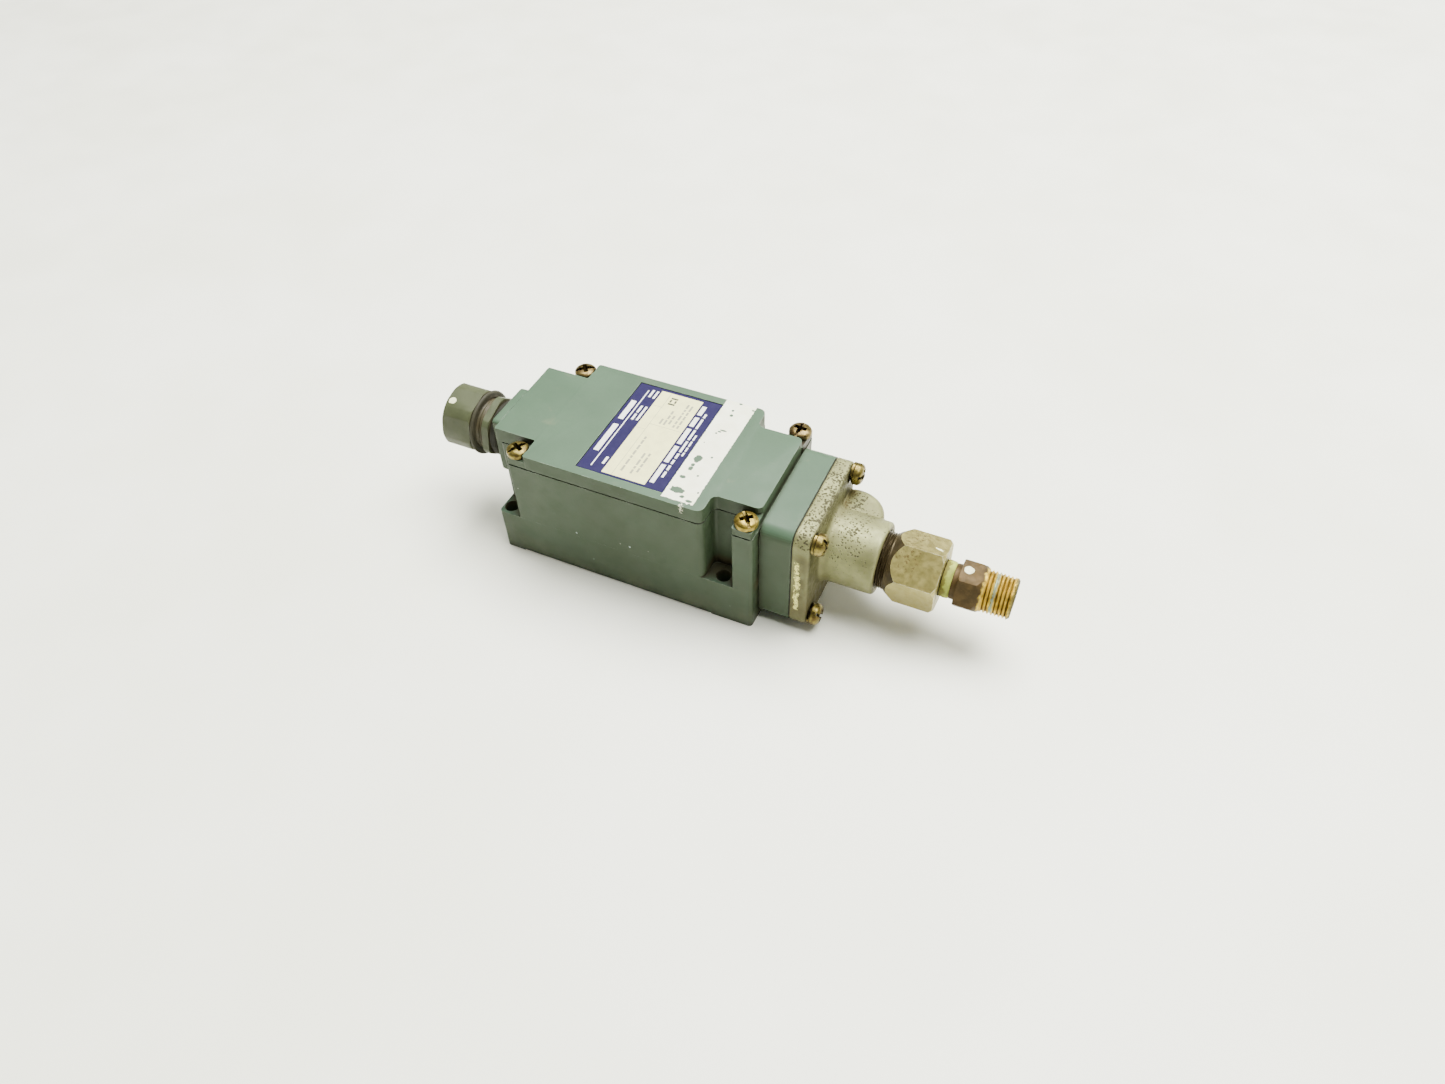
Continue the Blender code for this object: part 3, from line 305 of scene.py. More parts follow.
# ------------------------------------------------------------------ materials
class Look:
    """One node material, with short calls for the patterns that the pieces share."""

    def __init__(self, name, rough=0.5, metallic=0.0, specular=0.5):
        self.mat = bpy.data.materials.new(name)
        self.mat.use_nodes = True
        self.tree = self.mat.node_tree
        self.shader = self.tree.nodes["Principled BSDF"]
        self.shader.inputs["Roughness"].default_value = rough
        self.shader.inputs["Metallic"].default_value = metallic
        self.shader.inputs["Specular IOR Level"].default_value = specular
        self.where = self.node("ShaderNodeTexCoord").outputs["Object"]
        self.normal = None

    def node(self, kind, **values):
        made = self.tree.nodes.new(kind)
        for key, value in values.items():
            if hasattr(made, key):
                setattr(made, key, value)
            else:
                self.feed(made, key, value)
        return made

    def feed(self, node, key, value):
        """Links or sets an input, by its name or, as i0, i1 and so on, by its place."""
        socket = node.inputs[int(key[1:])] if key[0] == "i" and key[1:].isdigit() else node.inputs[key]
        if isinstance(value, bpy.types.NodeSocket):
            self.tree.links.new(value, socket)
        else:
            socket.default_value = value

    def math(self, operation, one, two=0.0, three=0.0):
        return self.node("ShaderNodeMath", operation=operation, i0=one, i1=two, i2=three).outputs[0]

    def vector(self, operation, one, two=(0, 0, 0), three=(0, 0, 0)):
        return self.node("ShaderNodeVectorMath", operation=operation, i0=one, i1=two, i2=three).outputs

    def facing(self, name):
        """A component of the face's own normal."""
        normal = self.node("ShaderNodeNewGeometry").outputs["True Normal"]
        return self.node("ShaderNodeSeparateXYZ", i0=normal).outputs[name]

    def times(self, one, two):
        return self.math("MULTIPLY", one, two)

    def plus(self, one, two):
        return self.math("ADD", one, two)

    def axis(self, name):
        return self.node("ShaderNodeSeparateXYZ", i0=self.where).outputs[name]

    def noise(self, size_mm, detail=4.0, roughness=0.55, distortion=0.0):
        made = self.node("ShaderNodeTexNoise", Scale=1 / (size_mm * MM), Detail=detail, Roughness=roughness,
                         Distortion=distortion)
        self.feed(made, "Vector", self.where)
        return made.outputs[0]

    def cells(self, size_mm):
        """Distance to the nearest of a set of scattered points."""
        made = self.node("ShaderNodeTexVoronoi", feature="F1", Scale=1 / (size_mm * MM), Randomness=1.0)
        self.feed(made, "Vector", self.where)
        return made.outputs["Distance"]

    def ramp(self, value, low, high, start=0.0, end=1.0):
        """Smooth step from start at low to end at high."""
        made = self.node("ShaderNodeMapRange", interpolation_type="SMOOTHSTEP", i0=value)
        for key, number in (("i1", low), ("i2", high), ("i3", start), ("i4", end)):
            self.feed(made, key, number)
        return made.outputs[0]

    def patches(self, size_mm, detail, low, high, start=0.0, end=1.0):
        return self.ramp(self.noise(size_mm, detail), low, high, start, end)

    def mix(self, factor, one, two):
        """Colour one where factor is 0 and colour two where it is 1."""
        made = self.node("ShaderNodeMix", data_type="RGBA")
        self.feed(made, "i0", factor)
        for index, value in ((6, one), (7, two)):
            if isinstance(value, bpy.types.NodeSocket):
                self.tree.links.new(value, made.inputs[index])
            else:
                made.inputs[index].default_value = (*value, 1.0)
        return made.outputs[2]

    def cloud(self, size_mm, detail, one, two):
        """Two colours in soft patches of a size."""
        return self.mix(self.patches(size_mm, detail, 0.3, 0.7), one, two)

    def crease(self, reach_mm, low=0.35, high=0.95):
        """1 in corners and gaps, 0 in the open."""
        shade = self.node("ShaderNodeAmbientOcclusion", samples=8, Distance=reach_mm * MM).outputs["AO"]
        return self.ramp(shade, low, high, 1.0, 0.0)

    def edge(self, radius_mm, low=0.02, high=0.12):
        """1 along edges, 0 on flats."""
        soft = self.node("ShaderNodeBevel", samples=6, Radius=radius_mm * MM).outputs[0]
        plain = self.node("ShaderNodeNewGeometry").outputs["Normal"]
        dot = self.vector("DOT_PRODUCT", soft, plain)["Value"]
        return self.ramp(self.math("SUBTRACT", 1.0, dot), low, high)

    def inside(self, low, high, soft=0.15):
        """1 inside a box in mm, 0 outside; None leaves a side open."""
        total = None
        for name, a, b in zip("XYZ", low, high):
            for limit, sign in ((a, 1), (b, -1)):
                if limit is None:
                    continue
                value = self.axis(name)
                part = self.ramp(value, (limit - sign * soft) * MM, (limit + sign * soft) * MM)
                total = part if total is None else self.times(total, part)
        return total

    def zone(self, low, high, soft, *pattern):
        """Patches, as in patches(), kept inside a box."""
        return self.times(self.inside(low, high, soft), self.patches(*pattern))

    def colour(self, value):
        self.feed(self.shader, "Base Color",
                  value if isinstance(value, bpy.types.NodeSocket) else (*value, 1.0))
        return self

    def roughness(self, size_mm, detail, low, high):
        self.feed(self.shader, "Roughness", self.patches(size_mm, detail, 0.3, 0.7, low, high))

    def bump(self, height, depth_mm, strength=1.0):
        made = self.node("ShaderNodeBump", Strength=strength, Distance=depth_mm * MM)
        self.feed(made, "Height", height)
        if self.normal is not None:
            self.feed(made, "Normal", self.normal)
        self.normal = made.outputs[0]
        self.feed(self.shader, "Normal", self.normal)
        return self


def rgb(red, green, blue):
    """Colour from 8-bit display values."""
    return tuple(((c / 255 + 0.055) / 1.055) ** 2.4 if c > 10 else c / 255 / 12.92
                 for c in (red, green, blue))


def scaled(colour, factor):
    return tuple(min(1.0, c * factor) for c in colour)


PAINT = rgb(70, 91, 72)
# Brown-black colour of the painted shade, mixed with soiling, in the enamel's corners
CREASE_SHADE_AND_GRIME = rgb(44, 44, 30)


def paint_look(name, extra=None):
    """Satin enamel with painted shade in its corners and on its upright sides, thin lighter edges that are
    partly wear and partly painted highlight, and a few light nicks.
    """
    look = Look(name, rough=0.5, specular=0.18)
    cloud = look.noise(26, 3)
    colour = look.mix(look.ramp(cloud, 0.3, 0.7), scaled(PAINT, 0.93), scaled(PAINT, 1.06))
    fine = look.noise(1.3, 3)
    colour = look.mix(look.ramp(fine, 0.35, 0.75, 0.0, 0.10), colour, scaled(PAINT, 0.75))
    stain = look.times(look.ramp(look.noise(9, 5, 0.6, distortion=0.6), 0.60, 0.78), 0.22)
    colour = look.mix(stain, colour, rgb(122, 120, 92))
    # painted shade: faces that stand upright get a darker, yellower enamel colour in broad patches
    lean = look.math("ABSOLUTE", look.facing("Z"))
    side_shade = look.times(look.ramp(lean, 0.25, 0.75, 1.0, 0.0), look.patches(18, 4, 0.3, 0.7, 0.8, 1.0))
    colour = look.mix(side_shade, colour, tuple(c * k for c, k in zip(PAINT, (0.64, 0.55, 0.46))))
    if extra:
        colour = extra(look, colour)
    # painted shade: ambient occlusion darkens corners and gaps towards brown-black, broken up by noise
    crease_shade_and_dirt = look.times(look.crease(3.2, 0.45, 0.98), look.patches(3.5, 5, 0.25, 0.6, 0.45, 1.0))
    colour = look.mix(look.times(crease_shade_and_dirt, 0.85), colour, CREASE_SHADE_AND_GRIME)
    # edges lightened: partly paint worn thin, partly a painted highlight
    worn = look.times(look.edge(0.5), look.patches(4, 4, 0.45, 0.62, 0.1, 0.75))
    colour = look.mix(look.times(worn, 0.45), colour, rgb(158, 172, 156))
    nick = look.times(look.ramp(look.cells(7.5), 0.022, 0.04, 1.0, 0.0),
                     look.patches(14, 2, 0.54, 0.60, 0.0, 0.55))
    colour = look.mix(nick, colour, rgb(166, 172, 152))
    look.colour(colour).roughness(6, 4, 0.36, 0.50)
    look.bump(look.noise(0.9, 2), 0.035, 0.35)
    look.bump(look.noise(7, 2), 0.12, 0.25)
    look.bump(nick, -0.06, 0.6)
    return look.mat


# ------------------------------------------------------------------ stage and camera
def stage_and_camera():
    bm = bmesh.new()
    bmesh.ops.create_grid(bm, x_segments=2, y_segments=2, size=3000)
    bmesh.ops.scale(bm, vec=(MM, MM, MM), verts=bm.verts)
    floor = linked("table_top", mesh_of("table_top", bm))
    look = Look("table_white", rough=0.45, specular=0.3)
    tint = look.cloud(120, 4, rgb(241, 242, 226), rgb(248, 249, 237))
    look.colour(tint).roughness(30, 3, 0.4, 0.6)
    floor.data.materials.append(look.mat)

    azimuth, elevation, roll = (radians(v) for v in CAMERA_TURN)
    back = Vector((sin(azimuth) * cos(elevation), -cos(azimuth) * cos(elevation),
                   sin(elevation)))
    right = Vector((cos(azimuth), sin(azimuth), 0))
    up = back.cross(right)
    side = cos(roll) * right + sin(roll) * up
    rise = -sin(roll) * right + cos(roll) * up
    data = bpy.data.cameras.new("view")
    data.sensor_width, data.lens, data.clip_start, data.clip_end = SENSOR_WIDTH, LENS, 0.01, 20.0
    camera = linked("view", data)
    camera.matrix_world = Matrix.Translation(Vector(CAMERA_PLACE) * MM) @ Matrix(
        (side, rise, back)).transposed().to_4x4()
    bpy.context.scene.camera = camera

    def softbox(name, place, size, power, tint):
        lamp = bpy.data.lights.new(name, "AREA")
        lamp.shape, lamp.size, lamp.size_y = "RECTANGLE", size[0], size[1]
        lamp.energy, lamp.color = power, tint
        obj = linked(name, lamp)
        obj.location = place
        obj.rotation_euler = (-Vector(place)).to_track_quat("-Z", "Y").to_euler()
    softbox("overhead", (0.15, 0.45, 1.5), (1.7, 1.2), 135, (1.0, 1.0, 0.955))
    softbox("left_fill", (-1.3, -0.5, 0.7), (0.9, 0.9), 3, (1.0, 1.0, 0.97))
    softbox("right_back", (1.0, 0.9, 0.6), (0.7, 0.7), 10, (1.0, 1.0, 0.95))
    world = bpy.data.worlds.new("studio")
    world.use_nodes = True
    world.node_tree.nodes["Background"].inputs[0].default_value = (1.0, 1.0, 0.93, 1.0)
    world.node_tree.nodes["Background"].inputs[1].default_value = 0.16
    bpy.context.scene.world = world


# ------------------------------------------------------------------ case and cover
def notched(x_left, x_right, half_left, outer, tongue, radii, right_stop=None):
    """Outline of case or cover: a wide middle with a narrower tongue at each end."""
    r_end, r_in_left, r_out_left, r_out_right, r_in_right = radii
    half = [(x_left, -tongue, r_end), (half_left, -tongue, r_in_left), (half_left, -outer, r_out_left),
            (POCKET_X1, -outer, r_out_right), (POCKET_X1, -tongue, r_in_right)]
    if right_stop:
        half += [(right_stop, -tongue, 1.2), (right_stop, -outer, 0.5), (x_right, -outer, 1.4)]
    else:
        half += [(x_right, -tongue, 2.0)]
    return rounded(half + [(x, -y, r) for x, y, r in reversed(half)], 7)


def cavity(grow=0.0, x1=20.0):
    half = [(-68.0 - grow, -14.9 - grow, 1.5), (-56 - grow, -14.9 - grow, 0), (-56 - grow, -23.5 - grow, 1.5),
            (3 + grow, -23.5 - grow, 1.5), (3 + grow, -14.9 - grow, 0), (x1 + grow, -14.9 - grow, 1.5)]
    return rounded(half + [(x, -y, r) for x, y, r in reversed(half)], 3)


def make_case():
    low = prism(rectangle(*CASE_X, -HALF_Y, HALF_Y, 1.4), 0, POCKET_Z)
    upper = prism(notched(*CASE_X, -65.8, HALF_Y, TONGUE_Y, (1.2, 0.8, 1.0, 2.2, 1.6), 16.0), POCKET_Z - 3,
                  RIM_Z)
    boss = prism(rectangle(*GLAND_BOSS_Y, 25.5, TOP_Z, 1.6), *GLAND_BOSS_X, "X")
    round_edges(boss, lambda p, q: max(p.x, q.x) < GLAND_BOSS_X[0] + 0.1, 0.9, 3)
    bridge = block(-75.8, -71, -14.4, 4.4, 26.5, 45.7)
    steps = plus(upper, boss, bridge)
    steps += less(prism(cavity(), 3.5, 60), block(-66.5, 8.0, -40, 40, -5, 0.5),
                  solid_turned([(-90, 8.2), (-71.5, 8.2), (-71.5, 5.4), (-60, 5.4)], 64, GLAND),
                  rod(10, 30, 5.3, PORT))
    for side in (-1, 1):
        for x in FIXING_X:
            steps += less(solid_turned([(-2, FIXING_R), (16.7, FIXING_R), (18, 2.9)], 40,
                                 (x, side * FIXING_Y), "Z"))
    for x, y in SCREWS_XY:
        steps += less(rod(30, 50, 2.1, (x, y), "Z", 24))
    case = combine(low, *steps)
    marks = ((-42.4, 19.0, 0.45), (-21.6, 20.8, 0.5), (-37, 8, 0.3))

    def flaws(look, colour):
        for x, z, size in marks:
            gap = look.vector("DISTANCE", look.where, (x * MM, -HALF_Y * MM, z * MM))["Value"]
            ragged = look.plus(gap, look.patches(0.6, 2, 0, 1, -0.0003, 0.0003))
            colour = look.mix(look.ramp(ragged, size * 0.6 * MM, size * MM, 1, 0), colour, rgb(150, 165, 158))
        oily = look.zone((15.5, 19.0, 33), (24, 28, 44), 2.0, 1.8, 4, 0.25, 0.5, 0.4, 0.9)
        colour = look.mix(oily, colour, rgb(44, 34, 22))
        foot = look.zone((None, None, None), (None, None, 6.0), 5.0, 8, 4, 0.3, 0.7, 0.1, 0.5)
        colour = look.mix(foot, colour, rgb(92, 96, 76))
        # painted shade: between z 16 and 21 mm the ledge pockets are darkened where ambient occlusion finds
        # them
        pocket = look.inside((None, None, 16.0), (None, None, 21.0), 2.0)
        hidden = look.crease(9.0, 0.55, 0.85)
        return look.mix(look.times(look.times(pocket, hidden), 0.9), colour, rgb(70, 62, 44))
    piece("case_shell", case, paint_look("case_enamel", flaws), "case", 0.3, 3,
          bevel_where=lambda p: not (-75.6 < p.x < -75.0 and p.z > 44))


def stripe(look, colour):
    """A worn white band across the cover with chipped-out spots."""
    x, y = look.axis("X"), look.axis("Y")
    wobble = look.patches(0.9, 3, 0, 1, -0.00022, 0.00022)
    ragged = look.patches(1.1, 4, 0.3, 0.7, -0.0009, 0.0009)
    band = look.ramp(look.plus(x, wobble), (STRIPE_X[0] - 0.05) * MM, (STRIPE_X[0] + 0.05) * MM)
    band = look.times(band, look.ramp(
        look.plus(x, wobble), (STRIPE_X[1] - 0.05) * MM, (STRIPE_X[1] + 0.05) * MM, 1, 0))
    front = look.plus(y, look.times(ragged, look.ramp(x, -1 * MM, 1.5 * MM, 0.15, 1.0)))
    band = look.times(band, look.ramp(front, (STRIPE_FRONT_Y - 0.05) * MM, (STRIPE_FRONT_Y + 0.05) * MM))
    band = look.times(band, look.ramp(look.axis("Z"), 47.4 * MM, 47.6 * MM))
    chips = ((-3.6, 26.0, 0.5, 0.35), (-4.7, 21.8, 0.35, 0.4), (-4.2, 19.3, 0.45, 0.45),
             (-3.5, 11.1, 0.95, 0.3),
             (-4.4, 10.2, 0.5, 0.3), (-5.2, 9.1, 0.3, 0.3), (-5.4, -4.6, 1.05, 1.35), (-5.7, -7.9, 0.55, 0.6),
             (-5.7, -9.7, 0.6, 0.75), (-6.3, -14.2, 0.85, 0.5), (-5.3, -20.3, 1.9, 1.05),
             (-2.6, -22.5, 0.6, 0.5),
             (-1.5, -2.4, 0.35, 0.35), (-2.0, -12.0, 0.3, 0.35), (0.3, -23.6, 0.9, 0.45),
             (1.7, 24.5, 0.4, 0.3),
             (1.4, -19.0, 0.25, 0.3), (-6.9, 3.4, 0.2, 0.2))
    spread = look.patches(0.8, 3, 0, 1, -0.45, 0.15)
    for cx, cy, rx, ry in chips:
        away = look.vector("MULTIPLY_ADD", look.where, (0.8 / (rx * MM), 0.8 / (ry * MM), 0),
                           (-0.8 * cx / rx, -0.8 * cy / ry, 0))["Vector"]
        length = look.vector("LENGTH", away)["Value"]
        band = look.times(band, look.ramp(look.plus(length, spread), 0.82, 0.95))
    white = look.cloud(5, 3, rgb(242, 243, 214), rgb(251, 252, 228))
    return look.mix(band, colour, white)


def make_cover():
    outline = notched(*COVER_X, COLUMN_X1, HALF_Y, TONGUE_Y, (0.5, 0.6, 0.9, 2.6, 2.4))
    top = round_edges(prism(outline, COVER_Z0, TOP_Z), lambda p, q: min(p.z, q.z) > TOP_Z - 0.01
                      and not max(p.x, q.x) < -75.1, 0.95, 5)
    steps = []
    for side in (-1, 1):
        for x0, x1 in ((-65.5, -57.5), (16.0, 22.8)):
            y0, y1 = sorted((side * 16.4, side * 26.4))
            steps += plus(prism(rectangle(x0, x1, y0, y1, 0.7), COVER_Z0 + 0.002, LUG_Z))
    steps += less(prism(cavity(0.0, 18.8), COVER_Z0 - 5, 46.0),
                  block(-80, -70.7, -14.7, 4.7, COVER_Z0 - 5, 46.0),
                  block(-40.7, -9.0, -23.35, 23.45, 47.9, 60))
    for x, y in SCREWS_XY:
        steps += less(rod(40, 46.5, 2.2, (x, y), "Z", 24), rod(LUG_Z, 60, 4.2, (x, y), "Z", 64))

    def band_and_scuffs(look, colour):
        colour = stripe(look, colour)
        oily = look.zone((15.5, 17.0, 42), (24, 28, 46.4), 0.6, 1.5, 4, 0.25, 0.5, 0.5, 1.0)
        colour = look.mix(oily, colour, rgb(44, 34, 22))
        scuff = look.times(look.inside((-36, None, 43), (-18, -26.0, 48), 1.5),
                          look.ramp(look.noise(1.2, 5, 0.7), 0.56, 0.66))
        colour = look.mix(look.times(scuff, 0.7), colour, rgb(70, 78, 70))
        chip = look.zone((-1.9, -27, 45.5), (-0.4, -24.9, 49), 0.3, 0.8, 3, 0.5, 0.58)
        return look.mix(chip, colour, rgb(222, 222, 196))
    piece("cover_shell", combine(top, *steps), paint_look("cover_enamel", band_and_scuffs),
          "cover", 0.2, 3, bevel_where=lambda p: p.x > -75.1)


def print_look(name, colour, rough=0.4, vary=0.06, grain=0.35, extra=None):
    look = Look(name, rough=rough, specular=0.12)
    shade = look.cloud(3.5, 4, scaled(colour, 1 - vary), scaled(colour, 1 + vary))
    fleck = look.ramp(look.noise(grain, 3, 0.7), 0.62, 0.75)
    shade = look.mix(look.times(fleck, 0.35), shade, scaled(colour, 0.7))
    if extra:
        shade = extra(look, shade)
    look.colour(shade).roughness(2.5, 3, rough - 0.08, rough + 0.1)
    look.bump(look.noise(0.5, 2), 0.01, 0.4)
    return look.mat


def make_label():
    violet, cream = print_look("label_violet", rgb(30, 25, 62), 0.55), print_look("label_cream",
                                                                                  rgb(232, 229, 166), 0.5)
    white, ink = print_look("label_white", rgb(232, 232, 226)), print_look("label_ink", rgb(66, 68, 60), 0.5)
    grey = print_look("label_grey_ink", rgb(150, 150, 128), 0.5)
    plate = prism(rectangle(*LABEL_X, *LABEL_Y, 0.25, 3), *LABEL_Z)
    piece("label_base", plate, violet, "label_plate", 0.08, 2)

    def marks(name, look, rows, z=LABEL_Z[1]):
        """Printed bars, each (x0, x1, y0, y1), as thin raised slabs in one piece."""
        bm = bmesh.new()
        for x0, x1, y0, y1 in rows:
            slab = block(x0, x1, y0, y1, z, z + INK_T)
            mesh = mesh_of("slab", slab)
            bm.from_mesh(mesh)
            bpy.data.meshes.remove(mesh)
        piece(name, bm, look)
    marks("label_field", cream, [FIELD])
    words = random.Random(4)

    def bars(x0, x1, y0, y1, widths, gap):
        """A row of word-like bars along +Y."""
        rows, y = [], y0
        while y < y1 - widths[0]:
            length = min(words.uniform(*widths), y1 - y)
            rows.append((x0, x1, y, y + length))
            y += length + gap
        return rows
    white_rows = [(-36.35, -35.95, -20.9, 20.4), (-39.2, -37.3, -13.9, 0.3), (-39.2, -37.3, 3.2, 13.5)]
    white_rows += bars(-33.4, -32.5, -18.8, -15.0, (3.4, 3.8), 0.4)
    white_rows += bars(-34.9, -34.1, 4.4, 14.6, (3.0, 5.0), 0.7) + bars(-33.2, -32.4, 4.6, 12.5, (7.5, 8.0),
                                                                        0.6)
    white_rows += bars(-34.9, -34.1, 17.2, 21.4, (4.0, 4.2), 0.5) + bars(-33.2, -32.4, 17.0, 21.4, (4.0, 4.4),
                                                                         0.5)
    white_rows += bars(-15.2, -13.6, -20.4, 20.0, (3.6, 9.5), 1.3)
    white_rows += bars(-12.7, -11.9, -17.0, 16.5, (1.6, 6.0), 0.8) + bars(-11.1, -10.5, -5.5, 5.5, (1.4, 3.4),
                                                                          0.6)
    marks("label_print_light", white, white_rows)
    field_top = LABEL_Z[1] + INK_T
    dark_rows = [(-28.05, -27.93, -22.0, 21.6), (-27.9, -16.3, 4.8, 4.92)]
    dark_rows += [(-31.4, -28.1, y, y + 0.1) for y in (1.6, 14.0)]
    marks("label_lines", grey, dark_rows, field_top)
    faint = []
    for x, y0, y1 in ((-26.3, -19.4, -1.6), (-22.9, -19.4, -9.0), (-21.2, -18.2, -8.6), (-25.2, 6.0, 10.0),
                      (-23.7, 6.0, 13.8), (-22.2, 7.0, 12.6), (-20.2, 6.0, 19.6), (-18.7, 6.0, 19.0)):
        faint += bars(x, x + 0.75, y0, y1, (1.0, 3.0), 0.55)
    marks("label_print_faint", grey, faint, field_top)
    marks("label_mark", ink,
          [(-26.9, -24.4, 16.2, 17.0), (-26.9, -24.4, 19.2, 20.0), (-26.9, -26.2, 17.4, 18.8),
           (-25.1, -24.4, 17.4, 18.8)], field_top)


# ------------------------------------------------------------------ screws
def zinc_look(name="yellow_zinc", dark=rgb(88, 78, 36), light=rgb(136, 122, 62), rust_colour=rgb(76, 58, 30),
              rust_amount=0.8):
    look = Look(name, rough=0.33, metallic=0.85)
    base = look.cloud(1.6, 4, dark, light)
    rust = look.ramp(look.noise(2.4, 5, 0.65), 0.50, 0.66)
    base = look.mix(look.times(rust, rust_amount), base, rust_colour)
    # painted shade: the cross recess, slot and corners darkened to near black
    base = look.mix(look.crease(1.9, 0.42, 0.98), base, rgb(34, 26, 14))
    # edges lightened: partly worn plating, partly a painted highlight
    worn = look.times(look.edge(0.12, 0.05, 0.3), look.patches(1.5, 3, 0.4, 0.6, 0.2, 0.8))
    look.colour(look.mix(worn, base, scaled(light, 1.5)))
    look.roughness(1.2, 4, 0.26, 0.5)
    look.bump(look.noise(0.45, 3), 0.03, 0.5)
    look.bump(look.noise(1.8, 2), 0.05, 0.5)
    return look.mat


def screw(radius, height, shank, length):
    """Pan head with a cross recess and a slot, standing on z = 0 with its shank below."""
    crown = arc(0, 0, 1, 0, 90, 9)
    top = [(height * 0.42 + height * 0.58 * s, radius - (radius * 0.62) * (1 - c)) for c, s in crown]
    profile = [(-length, 0), (-length, shank * 0.7), (-length + 0.5 * shank, shank), (0, shank),
               (0, radius - 0.15), (0.15, radius)] + top + [(height + 0.06, radius * 0.2), (height + 0.07, 0)]
    bm = turned(profile, 56, axis="Z")
    cutters = [block(-1.1 * radius, 1.1 * radius, -0.13 * radius, 0.13 * radius, height * 0.62, height * 2)]
    wing = [(0.6, 1.3), (0.56, 0.8), (0.2, -0.1)]
    wing = [(a * radius, b * height) for a, b in [(-0.6, 1.3)] + wing + [(-0.2, -0.1), (-0.56, 0.8)]]
    for turn in (0, 90):
        cutters.append(moved(prism(wing, -0.2 * radius, 0.2 * radius, "Y"), (0, 0, 0), spin=turn))
    return combine(bm, *less(*cutters))


def make_screws(zinc):
    spins = (38, 62, 84, 128)
    bright = zinc_look("bright_zinc", rgb(104, 88, 32), rgb(146, 128, 56), rgb(76, 58, 26), 0.5)
    brown = zinc_look("browned_zinc", rgb(78, 66, 36), rgb(122, 106, 62), rgb(60, 42, 24), 0.9)
    for n, ((x, y), spin, look) in enumerate(zip(SCREWS_XY, spins, (brown, zinc, brown, bright)), 1):
        bm = moved(screw(*COVER_SCREW), (x, y, LUG_Z + 0.2), spin=spin)
        piece(f"cover_screw_body_{n}", bm, look, f"cover_screw_{n}", 0.06, 2)
    for n, ((y, z), spin) in enumerate(zip(HEAD_SCREWS_YZ, (12, 70, 40, 95)), 1):
        bm = moved(screw(*HEAD_SCREW), (HEAD_SCREW_X, y, z), X_AXIS, spin)
        piece(f"head_screw_body_{n}", bm, zinc, f"head_screw_{n}", 0.06, 2)
        w0, w1 = WASHER_X
        split = turned([(w0, 2.15), (w0, 3.6), (w0 + 0.1, 3.7), (w1 - 0.1, 3.7), (w1, 3.6), (w1, 2.15)], 64,
                       (y, z))
        gap = block(-0.35, 0.35, 0, 6, -3, 3)
        bmesh.ops.rotate(gap, cent=(0, 0, 0), matrix=Matrix.Rotation(radians(spin * 3), 3, "X"),
                         verts=gap.verts)
        piece(f"spring_washer_body_{n}", combine(split, *less(moved(gap, ((w0 + w1) / 2, y, z)))), zinc,
              f"spring_washer_{n}")


# ------------------------------------------------------------------ pressure head
def head_outline(grow=0.0):
    """Outline, in y and z, shared by the block, the sheet gasket and the head's plate."""
    return rectangle(-21.4 - grow, 21.4 + grow, 1.8 - grow, 44.1 + grow, 4.6, 9)


def make_stem_block(rubber):
    bm = prism(head_outline(), *BLOCK_X, "X")
    bm = combine(bm, *less(solid_turned([(20, 7.9), (26.2, 7.9), (26.2, 12), (33.8, 12), (33.8, DIAPHRAGM_R),
                                         (40, DIAPHRAGM_R)], 64, PORT)))
    piece("stem_block_body", bm, paint_look("block_enamel"), "stem_block", 0.3, 3)
    sheet = combine(prism(head_outline(-0.25), *SHEET_X, "X"), *less(rod(30, 40, DIAPHRAGM_R + 0.2, PORT)))
    piece("head_gasket_sheet", sheet, rubber, "head_gasket")


